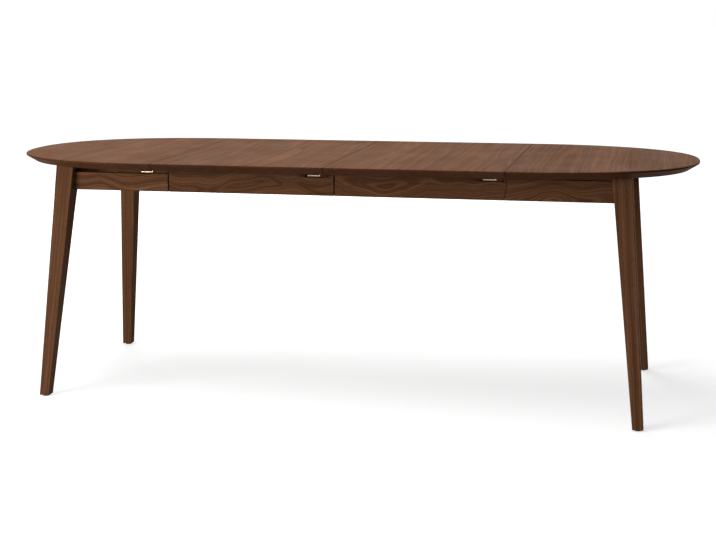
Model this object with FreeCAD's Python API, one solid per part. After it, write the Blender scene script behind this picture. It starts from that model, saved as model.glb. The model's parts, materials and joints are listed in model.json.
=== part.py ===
"""Butterfly leaf table with telescopic runners, shown with its leaf open.

The origin is on the floor under the middle of the table.  +X runs along the
table, +Y to its back and +Z up.  All lengths are in millimetres.
"""
import FreeCAD, Part
import math
import os
from FreeCAD import Vector

os.makedirs("parts", exist_ok=True)

UP = Vector(0, 0, 1)
ORIGIN = Vector(0, 0, 0)

# ---- tops -------------------------------------------------------------
table_height = 750.0
top_thick = 24.0
leaf_half = 530.0          # length of each leaf half, from the middle seam
end_length = 541.5         # length of each rounded end top
end_fullness = 2.25        # power of the oval ends: 2 is an ellipse, more is fuller
oval_steps = 72            # points round a whole oval
half_width = 410.0
bevel_height = 18.5        # the undercut bevel, up the edge of the tops
bevel_depth = 29.0         # the undercut bevel, in from the edge
arris = 3.0                # rounding of the upper edge
seam_gap = 1.0             # between the tops that meet at a seam
seam_ease = 0.8            # small chamfer along both sides of a seam

# ---- aprons -----------------------------------------------------------
apron_height = 63.5
apron_thick = 20.0
apron_drop = 13.0          # slit between the tops and the aprons
apron_setback = 13.5       # behind the outer faces of the legs
end_apron_reach = 11.0     # end frame aprons run this far under the leaf
middle_apron_shift = 4.5   # the middle apron joint, from the middle seam
apron_gap = 3.0
swing_gap = 1.0            # at the outer end of the swinging leaf half

# ---- legs -------------------------------------------------------------
leg_top_inset = 219.5      # centre of a leg under the top, in from the top's tip
leg_top_y = 261.5
leg_foot_inset = 150.5     # centre of a leg on the floor, in from the top's tip
leg_foot_y = 351.0
leg_top_size = 57.0
leg_foot_size = 32.0
leg_edge_radius = 2.5
foot_chamfer = 1.5
glide_height = 4.0
glide_radius = 11.0
glide_stem_radius = 3.0
glide_stem_length = 18.0

# ---- battens and cleats -----------------------------------------------
batten_width = 40.0
batten_place = 115.0       # centre lines of the battens, from the seams
batten_inset = 4.0         # batten ends behind the outer apron faces
cleat_width = 40.0
cleat_from_seam = 95.0     # centre line of the inner cleat
cleat_from_apron = 62.0    # centre line of the outer cleat, from the end apron
cleat_overhang = 33.8      # past the outermost rails

# ---- runners ----------------------------------------------------------
rail_height = 40.0
rail_thick = 22.0
rail_gap = 0.6             # between rails that lie side by side
rail_clear = 0.4           # above and below a rail that slides
centre_rail_length = 600.0
middle_rail_length = 600.0
end_rail_reach = 310.0     # of the end rails past the seam, under the leaf
rail_set_pitch = 135.0     # between the middle set and the outer sets
tongue_height = 6.0
tongue_depth = 4.0
tongue_clear = 0.3
tongue_drop = 3.5          # below the top of the rails
tie_thick = 18.0
tie_width = 60.0
tie_place = 215.0
tie_overhang = 58.0        # past the middle of the outer sets

# ---- equalizer gears --------------------------------------------------
gear_module = 1.75
pinion_teeth = 16
pressure_angle = math.radians(20.0)
addendum = 1.5
dedendum = 1.75
backlash = 0.30
gear_thick = 8.0
gear_pocket_clear = 0.5
gear_pocket_margin = 1.0   # round the tips of the pinion's teeth
flank_steps = 5
journal_radius = 4.0
journal_length = 4.8
journal_clear = 0.05
centre_gear_drop = 17.5    # middle of the centre pinion below the rail tops
stage_gear_drop = 30.5     # middle of the stage pinions below the rail tops
rack_back = 3.25           # rack material behind its teeth
rack_run = 330.0           # toothed length of the middle and end racks
rack_end_margin = 2.0

# ---- corner blocks and leg bolts --------------------------------------
block_clear = 4.3          # between the corner blocks and the rails
block_height = 30.0
block_drop = 11.5          # below the top edge of the aprons
bolt_radius = 4.0
bolt_in_leg = 34.0
bolt_tail = 14.0
nut_across = 13.0
nut_height = 6.5
washer_radius = 8.0
washer_thick = 1.6
bolt_clear = 0.3

# ---- seam locks -------------------------------------------------------
plate_thick = 2.0
plate_width = 24.0
lock_line = 14.5           # lock centre line, in from the outer apron face
pivot_reach = 30.0         # pivot stud, from the seam
pin_reach = 14.0           # keeper pin, from the seam
base_from = 8.0
base_to = 62.0
keeper_from = 4.0
keeper_to = 34.0
stud_radius = 4.0
stud_head_radius = 6.5
stud_head_thick = 2.0
boss_radius = 7.0
boss_height = 3.7
lever_thick = 2.5
lever_play = 0.3           # above and below the lever
lever_bore_clear = 0.05
lever_width = 14.0
lever_handle = 54.0
handle_from = 11.0         # where the handle steps down, from the pivot
handle_drop = 10.5         # of the handle below the lever, to the fingers
finger_room = 3.5          # under the handle
notch_clear = 1.5          # at the ends of the notch that the handle swings in
pin_radius = 3.0
pin_length = 9.0
hook_slot_clear = 0.6
hook_wall = 6.4
hook_lead = 12.0           # degrees of hook before the pin
hook_tail = 18.0           # degrees of hook behind the pin

# ---- leaf hinges ------------------------------------------------------
hinge_lift = 0.4           # hinge axis above the tops
hinge_places = (-250.0, 0.0, 250.0)
hinge_cup_depth = 15.0
hinge_cup_width = 14.0
hinge_cup_top = 4.0        # brass cup below the top surface
hinge_cup_height = 17.0
hinge_arm_radius = 10.5    # middle of the curved arm, from the axis
hinge_arm_thick = 4.0
hinge_arm_width = 6.0
hinge_arm_half_angle = 42.0
hinge_slot_clear = 0.4
hinge_slot_run = 4.0       # degrees of slot beyond the end of the arm

# ---- screws -----------------------------------------------------------
screw_radius = 2.0
screw_head_radius = 4.0
screw_head_height = 2.4
screw_clear = 0.05
board_screw_length = 25.0
apron_screw_length = 42.0
rail_screw_length = 36.0
tie_screw_length = 34.0
plate_screw_length = 16.0
batten_screw_places = (-220.0, -75.0, 75.0, 220.0)
cleat_screw_places = (-190.0, 0.0, 190.0)
base_screw_margin = 8.0        # screw centres, in from the ends of the plates
keeper_screw_margin = 6.0

# ---- levels and lines that follow from the sizes ----------------------
underside = table_height - top_thick
bevel_top = underside + bevel_height
apron_top = underside - apron_drop
apron_bottom = apron_top - apron_height
tip_x = leaf_half + end_length
leg_top_x = tip_x - leg_top_inset
leg_foot_x = tip_x - leg_foot_inset
leg_half_top = leg_top_size / 2
leg_half_foot = leg_foot_size / 2
apron_outer_y = leg_top_y + leg_half_top - apron_setback
apron_inner_y = apron_outer_y - apron_thick
end_apron_outer_x = leg_top_x + leg_half_top - apron_setback
end_apron_inner_x = end_apron_outer_x - apron_thick
apron_middle_y = (apron_outer_y + apron_inner_y) / 2
batten_half_length = apron_outer_y - batten_inset
batten_near = batten_place
batten_far = leaf_half - batten_place
end_joint = leaf_half - end_apron_reach
rail_top = apron_top
rail_bottom = rail_top - rail_height
lane_pitch = rail_thick + rail_gap
rails_outer_y = rail_set_pitch + 2 * lane_pitch + rail_thick / 2
stage_travel = leaf_half / 2
end_rail_start = leaf_half - end_rail_reach
tie_half_length = rail_set_pitch + tie_overhang
cleat_half_length = rails_outer_y + cleat_overhang
cleat_middles = (leaf_half + cleat_from_seam, end_apron_inner_x - cleat_from_apron)
block_side = apron_inner_y - rails_outer_y - block_clear
pitch_radius = gear_module * pinion_teeth / 2
tooth_pitch = math.pi * gear_module
centre_gear_z = rail_top - centre_gear_drop
stage_gear_z = rail_top - stage_gear_drop
lock_y = apron_outer_y - lock_line
plate_bottom = underside - plate_thick
boss_bottom = plate_bottom - boss_height
lever_top = boss_bottom
handle_bottom = lever_top - lever_thick - handle_drop
notch_bottom = handle_bottom - finger_room
hinge_z = table_height + hinge_lift


# ---- plain shapes -----------------------------------------------------
def box(x_pair, y_pair, z_pair):
    """A block between two values on each axis, given in any order."""
    lows = [min(pair) for pair in (x_pair, y_pair, z_pair)]
    spans = [abs(pair[1] - pair[0]) for pair in (x_pair, y_pair, z_pair)]
    return Part.makeBox(spans[0], spans[1], spans[2], Vector(*lows))


def prism(points, z_low, z_high):
    """A straight-sided block with the plan outline of the points."""
    corners = [Vector(x, y, z_low) for x, y in points]
    wire = Part.makePolygon(corners + corners[:1])
    return Part.Face(wire).extrude(Vector(0, 0, z_high - z_low))


def mirrored(shape, flip_x, flip_y):
    """The shape, or its mirror image across the middle planes."""
    if flip_x < 0:
        shape = shape.mirror(ORIGIN, Vector(1, 0, 0))
    if flip_y < 0:
        shape = shape.mirror(ORIGIN, Vector(0, 1, 0))
    return shape


def cut_all(shape, tools):
    """Cut from the shape each tool whose box reaches it."""
    near = [tool for tool in tools if tool.BoundBox.intersect(shape.BoundBox)]
    return shape.cut(near) if near else shape


def single(shape):
    """The one solid of a shape."""
    return shape.Solids[0]


# ---- screws -----------------------------------------------------------
def screw_shape(x, y, seat, upward, length, grow):
    """A flush-headed screw; grow widens it into its own hole."""
    way = UP if upward else Vector(0, 0, -1)
    start = Vector(x, y, seat)
    head = Part.makeCylinder(screw_head_radius + grow, screw_head_height + grow, start, way)
    shank = Part.makeCylinder(screw_radius + grow, length + grow, start, way)
    return head.fuse(shank).removeSplitter()


class ScrewSet:
    """The screws of one body, with the holes that they need."""

    def __init__(self):
        self.screws = []
        self.holes = []

    def add(self, x, y, seat, upward, length):
        """Put one screw in, with its head's outer face at the seat."""
        self.screws.append(single(screw_shape(x, y, seat, upward, length, 0.0)))
        self.holes.append(screw_shape(x, y, seat, upward, length, screw_clear))


# ---- tops -------------------------------------------------------------
def oval_wire(centre_x, along, across, z):
    """An oval in plan, with its half lengths along X and across Y."""

    def share(value):
        return math.copysign(abs(value) ** (2 / end_fullness), value)

    points = []
    for step in range(oval_steps):
        turn = math.tau * step / oval_steps
        points.append(Vector(centre_x + along * share(math.cos(turn)), across * share(math.sin(turn)), z))
    curve = Part.BSplineCurve()
    curve.interpolate(Points=points, PeriodicFlag=True)
    return Part.Wire([curve.toShape()])


def seam_chamfer(x, side):
    """The little wedge that eases the upper edge of a seam; side is +1 or -1."""
    points = [
        Vector(x - side, -2 * half_width, table_height - seam_ease - 1),
        Vector(x - side, -2 * half_width, table_height + 1),
        Vector(x + side * (seam_ease + 1), -2 * half_width, table_height + 1),
    ]
    face = Part.Face(Part.makePolygon(points + points[:1]))
    return face.extrude(Vector(0, 4 * half_width, 0))


def end_top(side):
    """A rounded end top: half an oval with an undercut bevel."""
    lower_wire = oval_wire(leaf_half, end_length - bevel_depth, half_width - bevel_depth, underside)
    upper_wire = oval_wire(leaf_half, end_length, half_width, bevel_top)
    lower = Part.makeLoft([lower_wire, upper_wire], True, True)
    upper = Part.Face(upper_wire).extrude(Vector(0, 0, table_height - bevel_top))
    rim = [edge for edge in upper.Edges if edge.BoundBox.ZMin > table_height - 0.01]
    upper = upper.makeFillet(arris, rim)
    whole = lower.fuse(upper).removeSplitter()
    seam_x = leaf_half + seam_gap / 2
    wide = 2 * half_width
    keep = box((seam_x, leaf_half + 2 * end_length), (-wide, wide), (0, 2 * table_height))
    half = whole.common(keep).cut(seam_chamfer(seam_x, 1))
    return mirrored(single(half), side, 1)


def board_outline(x):
    """The cross-section of a leaf board in the plane at x."""
    turn = math.radians(45.0)
    rim_z = table_height - arris
    rim_y = half_width - arris
    low = half_width - bevel_depth

    def at(y, z):
        return Vector(x, y, z)

    def corner(sign):
        middle = at(sign * (rim_y + arris * math.sin(turn)), rim_z + arris * math.cos(turn))
        return Part.Arc(at(sign * half_width, rim_z), middle, at(sign * rim_y, table_height)).toShape()

    edges = [
        Part.makeLine(at(-low, underside), at(low, underside)),
        Part.makeLine(at(low, underside), at(half_width, bevel_top)),
        Part.makeLine(at(half_width, bevel_top), at(half_width, rim_z)),
        corner(1),
        Part.makeLine(at(rim_y, table_height), at(-rim_y, table_height)),
        corner(-1),
        Part.makeLine(at(-half_width, rim_z), at(-half_width, bevel_top)),
        Part.makeLine(at(-half_width, bevel_top), at(-low, underside)),
    ]
    return Part.Face(Part.Wire(edges))


def leaf_top(side):
    """A leaf half: a board between the middle seam and an end seam."""
    inner = side * seam_gap / 2
    outer = side * (leaf_half - seam_gap / 2)
    board = board_outline(inner).extrude(Vector(outer - inner, 0, 0))
    board = board.cut([seam_chamfer(inner, side), seam_chamfer(outer, -side)])
    return single(board)


# ---- legs and end frames ----------------------------------------------
def leg_section(z):
    """Centre x, centre y and half size of a leg at a height."""
    share = z / underside
    centre_x = leg_foot_x + (leg_top_x - leg_foot_x) * share
    centre_y = leg_foot_y + (leg_top_y - leg_foot_y) * share
    return centre_x, centre_y, leg_half_foot + (leg_half_top - leg_half_foot) * share


def leg_square(z, shrink):
    """The square outline of a leg at a height."""
    centre_x, centre_y, half = leg_section(z)
    half = half - shrink
    signs = ((-1, -1), (1, -1), (1, 1), (-1, 1))
    corners = [Vector(centre_x + half * i, centre_y + half * j, z) for i, j in signs]
    return Part.makePolygon(corners + corners[:1])


def leg_blank():
    """A splayed, tapered leg with sharp edges, in the +X +Y quarter."""
    squares = [leg_square(glide_height, 0.0), leg_square(underside, 0.0)]
    return Part.makeLoft(squares, True, True)


def leg():
    """The leg with rounded long edges, a chamfered foot and its holes."""
    body = leg_blank()
    long_edges = [edge for edge in body.Edges if edge.Length > underside / 2]
    body = body.makeFillet(leg_edge_radius, long_edges)
    skirt = leg_square(glide_height - 1, -20.0)
    outer = Part.Face(skirt).extrude(Vector(0, 0, foot_chamfer + 1))
    taper = Part.makeLoft([
        leg_square(glide_height - 1, foot_chamfer + 1),
        leg_square(glide_height + foot_chamfer, 0.0),
    ], True, True)
    body = body.cut(outer.cut(taper))
    foot_x, foot_y, _ = leg_section(glide_height)
    stem = glide_stem_radius + screw_clear
    hole = Part.makeCylinder(stem, glide_stem_length + 1, Vector(foot_x, foot_y, 0), UP)
    return single(body.cut([hole, leg_bolt_hole()]))


def glide():
    """A round nylon glide with its stem, under the leg."""
    foot_x, foot_y, _ = leg_section(glide_height)
    base = Vector(foot_x, foot_y, 0)
    disc = Part.makeCylinder(glide_radius, glide_height, base, UP)
    rim = [edge for edge in disc.Edges if edge.BoundBox.ZMax < 0.01]
    disc = disc.makeChamfer(glide_height / 4, rim)
    stem = Part.makeCylinder(glide_stem_radius, glide_stem_length, base, UP)
    return single(disc.fuse(stem).removeSplitter())


def bolt_line():
    """The leg's inner edge at bolt height, and the way into the leg."""
    z = apron_top - block_drop - block_height / 2
    centre_x, centre_y, half = leg_section(z)
    return Vector(centre_x - half, centre_y - half, z), Vector(1, 1, 0).normalize()


def block_face_distance():
    """How far the corner block's long face lies inside the leg's edge."""
    edge, way = bolt_line()
    on_face = Vector(end_apron_inner_x, apron_inner_y - block_side, edge.z)
    return (edge - on_face).dot(way)


def bolt_cylinder(radius, start, end):
    """A cylinder on the bolt's line, between two distances from the leg's edge."""
    edge, way = bolt_line()
    return Part.makeCylinder(radius, end - start, edge + way * start, way)


def leg_bolt_hole():
    """The hole that the hanger bolt fills in the leg."""
    return bolt_cylinder(bolt_radius + screw_clear, -bolt_radius, bolt_in_leg)


def corner_block():
    """A corner block behind the leg, fitted to its inner edge."""
    corner = (end_apron_inner_x, apron_inner_y)
    points = [corner, (corner[0] - block_side, corner[1]), (corner[0], corner[1] - block_side)]
    top = apron_top - block_drop
    block = prism(points, top - block_height, top).cut(leg_blank())
    hole = bolt_cylinder(bolt_radius + bolt_clear, -2 * block_side, block_side)
    pieces = block.cut(hole).Solids
    return max(pieces, key=lambda piece: piece.Volume)


def leg_bolts():
    """The hanger bolt, its washer and its nut."""
    face = -block_face_distance()
    bolt = bolt_cylinder(bolt_radius, face - bolt_tail, bolt_in_leg)
    bore = bolt_cylinder(bolt_radius + screw_clear, -2 * block_side, bolt_in_leg)
    washer = bolt_cylinder(washer_radius, face - washer_thick, face).cut(bore)
    edge, way = bolt_line()
    start = edge + way * (face - washer_thick - nut_height)
    reach = nut_across / math.sqrt(3.0)
    side = Vector(-way.y, way.x, 0)
    turns = [math.radians(60.0 * i) for i in range(6)]
    corners = [start + side * (reach * math.cos(t)) + UP * (reach * math.sin(t)) for t in turns]
    nut = Part.Face(Part.makePolygon(corners + corners[:1])).extrude(way * nut_height).cut(bore)
    return [bolt, single(washer), single(nut)]


def end_long_apron(side, front):
    """The front or back apron of an end frame, from the leg to the leaf.

    The left ones are lower on top, as deep as the notches, so that the handles clear them.
    """
    joint = end_joint + apron_gap / 2
    y_pair = (apron_inner_y, apron_outer_y)
    apron = box((joint, leg_top_x), y_pair, (apron_bottom, notch_bottom))
    if side > 0:
        apron = box((joint - apron_thick, leg_top_x), y_pair, (apron_bottom, apron_top))
        apron = apron.cut(swing_disc(swing_gap))
    return mirrored(single(apron.cut(leg_blank())), side, front)


def end_cross_apron(side):
    """The apron between the two legs of an end."""
    apron = box((end_apron_inner_x, end_apron_outer_x), (-leg_top_y, leg_top_y), (apron_bottom, apron_top))
    legs = [mirrored(leg_blank(), 1, front) for front in (1, -1)]
    return mirrored(single(apron.cut(legs)), side, 1)


def cleat(side, middle):
    """A cleat under an end top, resting on the end rails."""
    x_pair = (side * (middle - cleat_width / 2), side * (middle + cleat_width / 2))
    return box(x_pair, (-cleat_half_length, cleat_half_length), (rail_top - rail_clear, underside))


# ---- leaf underside ---------------------------------------------------
def batten(place):
    """A batten across the underside of a leaf half; place is its middle."""
    x_pair = (place - batten_width / 2, place + batten_width / 2)
    return box(x_pair, (-batten_half_length, batten_half_length), (apron_top, underside))


def swing_radius():
    """How far from the hinge axis the swinging leaf's apron may reach.

    The joint leans so that its middle height is where the other end joint is.
    """
    middle_drop = hinge_z - (apron_top + apron_bottom) / 2
    return math.hypot(end_joint - swing_gap / 2, middle_drop)


def swing_disc(grow):
    """The space that the swinging leaf half sweeps, widened by grow."""
    start = Vector(0, -2 * half_width, hinge_z)
    return Part.makeCylinder(swing_radius() + grow, 4 * half_width, start, Vector(0, 1, 0))


def handle_notch(seam):
    """The notch in a leaf apron's top edge that a lock handle lies and swings in."""
    pivot = seam - pivot_reach
    start = pivot - lever_handle - notch_clear
    end = pivot + lever_width / 2 + notch_clear
    return box((start, end), (-half_width, half_width), (notch_bottom, underside))


def leaf_apron(side, front):
    """The front or back apron of a leaf half."""
    y_pair = (front * apron_inner_y, front * apron_outer_y)
    z_pair = (apron_bottom, apron_top)
    if side < 0:
        apron = box((-end_joint + apron_gap / 2, middle_apron_shift - apron_gap / 2), y_pair, z_pair)
        return single(apron.cut(handle_notch(0.0)))
    apron = box((middle_apron_shift + apron_gap / 2, end_joint + apron_thick), y_pair, z_pair)
    return single(apron.common(swing_disc(0.0)).cut(handle_notch(leaf_half)))


# ---- runners ----------------------------------------------------------
def lane_y(lane, rail_set):
    """The middle of a lane; lanes run from -2 to 2, sets from -1 to 1."""
    return rail_set * rail_set_pitch + lane * lane_pitch


def plain_rail(x_pair, lane, rail_set, z_pair):
    """A rail before its grooves and tongues."""
    middle = lane_y(lane, rail_set)
    return box(x_pair, (middle - rail_thick / 2, middle + rail_thick / 2), z_pair)


def tongue_bar(x_pair, lane, rail_set, side, grow):
    """The tongue on one side of a lane's rail; grow makes it a groove cutter."""
    face = lane_y(lane, rail_set) + side * rail_thick / 2
    tip = face + side * (rail_gap + tongue_depth + grow)
    high = rail_top - tongue_drop + grow
    low = rail_top - tongue_drop - tongue_height - grow
    return box(x_pair, (face, tip), (low, high))


def middle_rail_span(side):
    """The ends of a middle rail, with the leaf open."""
    start = side * (stage_travel - middle_rail_length / 2)
    return start, start + side * middle_rail_length


def end_rail_span(side):
    """The ends of an end rail, with the leaf open."""
    return side * end_rail_start, side * end_apron_inner_x


def centre_rail(rail_set):
    """The fixed rail of a set, grooved on both sides."""
    x_pair = (-centre_rail_length / 2, centre_rail_length / 2)
    rail = plain_rail(x_pair, 0, rail_set, (rail_bottom, rail_top))
    long_pair = (-centre_rail_length, centre_rail_length)
    grooves = [tongue_bar(long_pair, -side, rail_set, side, tongue_clear) for side in (-1, 1)]
    return rail.cut(grooves)


def middle_rail(side, rail_set):
    """The rail that runs between the centre rail and an end rail."""
    x_pair = middle_rail_span(side)
    z_pair = (rail_bottom + rail_clear, rail_top - rail_clear)
    rail = plain_rail(x_pair, side, rail_set, z_pair)
    tongues = [tongue_bar(x_pair, side, rail_set, way, 0.0) for way in (-1, 1)]
    return rail.fuse(tongues).removeSplitter()


def end_rail(side, rail_set):
    """A rail fixed to an end frame, grooved on its inner side."""
    z_pair = (rail_bottom + rail_clear, rail_top - rail_clear)
    rail = plain_rail(end_rail_span(side), 2 * side, rail_set, z_pair)
    groove = tongue_bar((-2 * leg_top_x, 2 * leg_top_x), side, rail_set, side, tongue_clear)
    return rail.cut(groove)


def cross_tie(side):
    """A tie under the three centre rails."""
    middle = side * tie_place
    x_pair = (middle - tie_width / 2, middle + tie_width / 2)
    return box(x_pair, (-tie_half_length, tie_half_length), (rail_bottom - tie_thick, rail_bottom))


# ---- equalizer --------------------------------------------------------
def involute_point(base_radius, radius, half_angle):
    """A point on a tooth flank at a radius; half_angle is that at the base."""
    roll = math.sqrt(max((radius / base_radius) ** 2 - 1.0, 0.0))
    return radius, half_angle - (roll - math.atan(roll))


def pinion_outline():
    """The plan of the pinion's teeth, with a tooth towards +Y."""
    base_radius = pitch_radius * math.cos(pressure_angle)
    root_radius = pitch_radius - dedendum
    tip_radius = pitch_radius + addendum
    thick_angle = (tooth_pitch / 2 - backlash / 2) / (2 * pitch_radius)
    base_angle = thick_angle + math.tan(pressure_angle) - pressure_angle
    flank = tip_radius - base_radius
    radii = [base_radius + flank * i / flank_steps for i in range(flank_steps + 1)]
    points = []
    for tooth in range(pinion_teeth):
        middle = math.pi / 2 - 2 * math.pi * tooth / pinion_teeth
        rising = [(root_radius, base_angle)]
        rising += [involute_point(base_radius, radius, base_angle) for radius in radii]
        falling = [(r, -angle) for r, angle in reversed(rising)]
        for radius, angle in rising + falling:
            points.append((radius * math.cos(middle + angle), radius * math.sin(middle + angle)))
    return points


def pinion(centre_x, centre_y, centre_z):
    """A pinion with a journal above and below its teeth."""
    low = centre_z - gear_thick / 2
    gear = prism([(centre_x + x, centre_y + y) for x, y in pinion_outline()], low, low + gear_thick)
    base = Vector(centre_x, centre_y, low - journal_length)
    journal = Part.makeCylinder(journal_radius, gear_thick + 2 * journal_length, base, UP)
    return single(gear.fuse(journal).removeSplitter())


def pinion_pocket(centre_x, centre_y, centre_z):
    """The slot and bearing holes that a rail needs for its pinion."""
    reach = pitch_radius + addendum + gear_pocket_margin
    tall = gear_thick / 2 + gear_pocket_clear
    wide = rail_thick
    slot = box((centre_x - reach, centre_x + reach), (centre_y - wide, centre_y + wide),
               (centre_z - tall, centre_z + tall))
    base = Vector(centre_x, centre_y, centre_z - gear_thick / 2 - journal_length - gear_pocket_clear)
    length = gear_thick + 2 * journal_length + 2 * gear_pocket_clear
    return [slot, Part.makeCylinder(journal_radius + journal_clear, length, base, UP)]


def rack(x_pair, pinion_x, pinion_y, z, way):
    """A toothed rack beside a pinion; way is the side of the pinion it lies on."""
    low_x, high_x = min(x_pair), max(x_pair)
    slope = math.tan(pressure_angle)
    tip = tooth_pitch / 4 - backlash / 4 - addendum * slope
    root = tooth_pitch / 4 - backlash / 4 + dedendum * slope
    tip_y = pitch_radius - addendum
    root_y = pitch_radius + dedendum
    back_y = root_y + rack_back
    points = [(low_x, back_y), (low_x, root_y)]
    first = math.ceil((low_x + root - pinion_x) / tooth_pitch - 0.5)
    last = math.floor((high_x - root - pinion_x) / tooth_pitch - 0.5)
    for number in range(first, last + 1):
        middle = pinion_x + (number + 0.5) * tooth_pitch
        points += [(middle - root, root_y), (middle - tip, tip_y)]
        points += [(middle + tip, tip_y), (middle + root, root_y)]
    points += [(high_x, root_y), (high_x, back_y)]
    placed = [(x, pinion_y + way * y) for x, y in points]
    return single(prism(placed, z - gear_thick / 2, z + gear_thick / 2))


def rack_slot(x_pair, face_y, pinion_y, z, way):
    """The groove that a rack lies in, open to the rail's side."""
    back = pinion_y + way * (pitch_radius + dedendum + rack_back)
    return box(x_pair, (face_y, back), (z - gear_thick / 2, z + gear_thick / 2))


def lane_face(lane, way):
    """The side of a middle-set rail that looks along way."""
    return lane_y(lane, 0) + way * rail_thick / 2


def middle_rack(side):
    """The rack on a middle rail that the centre pinion drives."""
    start = middle_rail_span(side)[0] + side * rack_end_margin
    x_pair = (start, start + side * rack_run)
    slot = rack_slot(x_pair, lane_face(side, -side), 0.0, centre_gear_z, side)
    return rack(x_pair, 0.0, 0.0, centre_gear_z, side), slot


def centre_rack(side):
    """The rack on the centre rail that a stage pinion rolls on."""
    x_pair = (-side * (pitch_radius + addendum), side * (centre_rail_length / 2 - rack_end_margin))
    pinion_y = lane_y(side, 0)
    slot = rack_slot(x_pair, lane_face(0, side), pinion_y, stage_gear_z, -side)
    return rack(x_pair, side * stage_travel, pinion_y, stage_gear_z, -side), slot


def end_rack(side):
    """The rack on an end rail that a stage pinion drives."""
    start = end_rail_span(side)[0] + side * rack_end_margin
    x_pair = (start, start + side * rack_run)
    pinion_y = lane_y(side, 0)
    slot = rack_slot(x_pair, lane_face(2 * side, -side), pinion_y, stage_gear_z, side)
    return rack(x_pair, side * stage_travel, pinion_y, stage_gear_z, side), slot


# ---- seam locks -------------------------------------------------------
def lock_plate(start, end):
    """A plate under the tops, at the back, between two values of X."""
    y_pair = (lock_y - plate_width / 2, lock_y + plate_width / 2)
    return box((start, end), y_pair, (plate_bottom, underside))


def lock_base(seam, front):
    """The plate on the left of a seam, with its boss, stud and stud head."""
    pivot = Vector(seam - pivot_reach, lock_y, 0)
    plate = lock_plate(seam - base_to, seam - base_from)
    stud_bottom = boss_bottom - lever_thick - 2 * lever_play
    levels = (
        (boss_radius, boss_bottom + lever_play, plate_bottom),
        (stud_radius, stud_bottom, boss_bottom + lever_play),
        (stud_head_radius, stud_bottom - stud_head_thick, stud_bottom),
    )
    rounds = [Part.makeCylinder(r, high - low, pivot + UP * low, UP) for r, low, high in levels]
    return mirrored(single(plate.fuse(rounds).removeSplitter()), 1, front)


def lock_lever(seam, front):
    """The lever with its hook, swung open: handle along the apron, hook inward.

    Past its hub the handle steps down to where fingers reach it over the apron.
    """
    z = lever_top - lever_thick
    inner = pivot_reach + pin_reach - pin_radius - hook_slot_clear
    outer = pivot_reach + pin_reach + pin_radius + hook_slot_clear
    reach = outer + hook_wall
    pivot = Vector(0, 0, z)
    half = lever_width / 2
    hub = Part.makeCylinder(half, lever_thick, pivot, UP)
    arm = box((0, inner - 1), (-half, half), (z, z + lever_thick))
    neck = box((-half, half), (0, handle_from + lever_thick), (z, z + lever_thick))
    step = box((-half, half), (handle_from, handle_from + lever_thick), (handle_bottom, z + lever_thick))
    handle_z = (handle_bottom, handle_bottom + lever_thick)
    handle = box((-half, half), (handle_from, lever_handle - half), handle_z)
    knob = Part.makeCylinder(half, lever_thick, Vector(0, lever_handle - half, handle_bottom), UP)
    sector = Part.makeCylinder(reach, lever_thick, pivot, UP, hook_lead + hook_tail)
    sector.rotate(ORIGIN, UP, -hook_lead)
    sector = sector.cut(Part.makeCylinder(inner - hook_wall, lever_thick, pivot, UP))
    slot_angle = hook_lead + math.degrees((pin_radius + hook_slot_clear) / (pivot_reach + pin_reach))
    slot = Part.makeCylinder(outer, lever_thick, pivot, UP, slot_angle)
    slot = slot.cut(Part.makeCylinder(inner, lever_thick, pivot, UP))
    slot.rotate(ORIGIN, UP, -hook_lead)
    blank = hub.fuse([arm, neck, step, handle, knob, sector]).removeSplitter()
    bore = Part.makeCylinder(stud_radius + lever_bore_clear, lever_thick, pivot, UP)
    lever = single(blank.cut([slot, bore]))
    lever.rotate(ORIGIN, UP, 90)
    lever = lever.mirror(ORIGIN, Vector(0, 1, 0))
    lever.translate(Vector(seam - pivot_reach, lock_y, 0))
    return mirrored(lever, 1, front)


def lock_keeper(seam, front):
    """The plate on the right of a seam, with the pin that the hook takes."""
    plate = lock_plate(seam + keeper_from, seam + keeper_to)
    base = Vector(seam + pin_reach, lock_y, plate_bottom - pin_length)
    pin = Part.makeCylinder(pin_radius, pin_length, base, UP)
    return mirrored(single(plate.fuse(pin).removeSplitter()), 1, front)


# ---- leaf hinges ------------------------------------------------------
def hinge_cup(side, place):
    """A block let into the middle seam, on one side of it."""
    x_pair = (side * seam_gap / 2, side * (seam_gap / 2 + hinge_cup_depth))
    y_pair = (place - hinge_cup_width / 2, place + hinge_cup_width / 2)
    top = table_height - hinge_cup_top
    return box(x_pair, y_pair, (top - hinge_cup_height, top))


def hinge_arc(place, grow, low_angle, high_angle):
    """A piece of ring about the hinge axis, under it, between two angles."""
    wide = hinge_arm_width + 2 * grow
    start = Vector(0, place - wide / 2, hinge_z)
    along = Vector(0, 1, 0)
    outer = Part.makeCylinder(hinge_arm_radius + hinge_arm_thick / 2 + grow, wide, start, along)
    ring = outer.cut(Part.makeCylinder(hinge_arm_radius - hinge_arm_thick / 2 - grow, wide, start, along))
    far = 4 * hinge_arm_radius
    rays = [math.radians(angle) for angle in (low_angle, high_angle)]
    fan = [Vector(0, start.y, hinge_z)]
    fan += [Vector(far * math.sin(ray), start.y, hinge_z - far * math.cos(ray)) for ray in rays]
    wedge = Part.Face(Part.makePolygon(fan + fan[:1])).extrude(Vector(0, wide, 0))
    return ring.common(wedge)


def hinge_fixed(place):
    """The left cup with its curved arm, which reaches over the seam."""
    arm = hinge_arc(place, 0.0, -hinge_arm_half_angle, hinge_arm_half_angle)
    return single(hinge_cup(-1, place).fuse(arm).removeSplitter())


def hinge_moving(place):
    """The right cup, slotted for the curved arm."""
    far_end = hinge_arm_half_angle + hinge_slot_run
    slot = hinge_arc(place, hinge_slot_clear, -far_end, far_end)
    return single(hinge_cup(1, place).cut(slot))


# ---- assembly ---------------------------------------------------------
nodes = {}


def keep(name, pieces):
    """Store the solids of a node."""
    nodes[name] = list(pieces)


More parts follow.
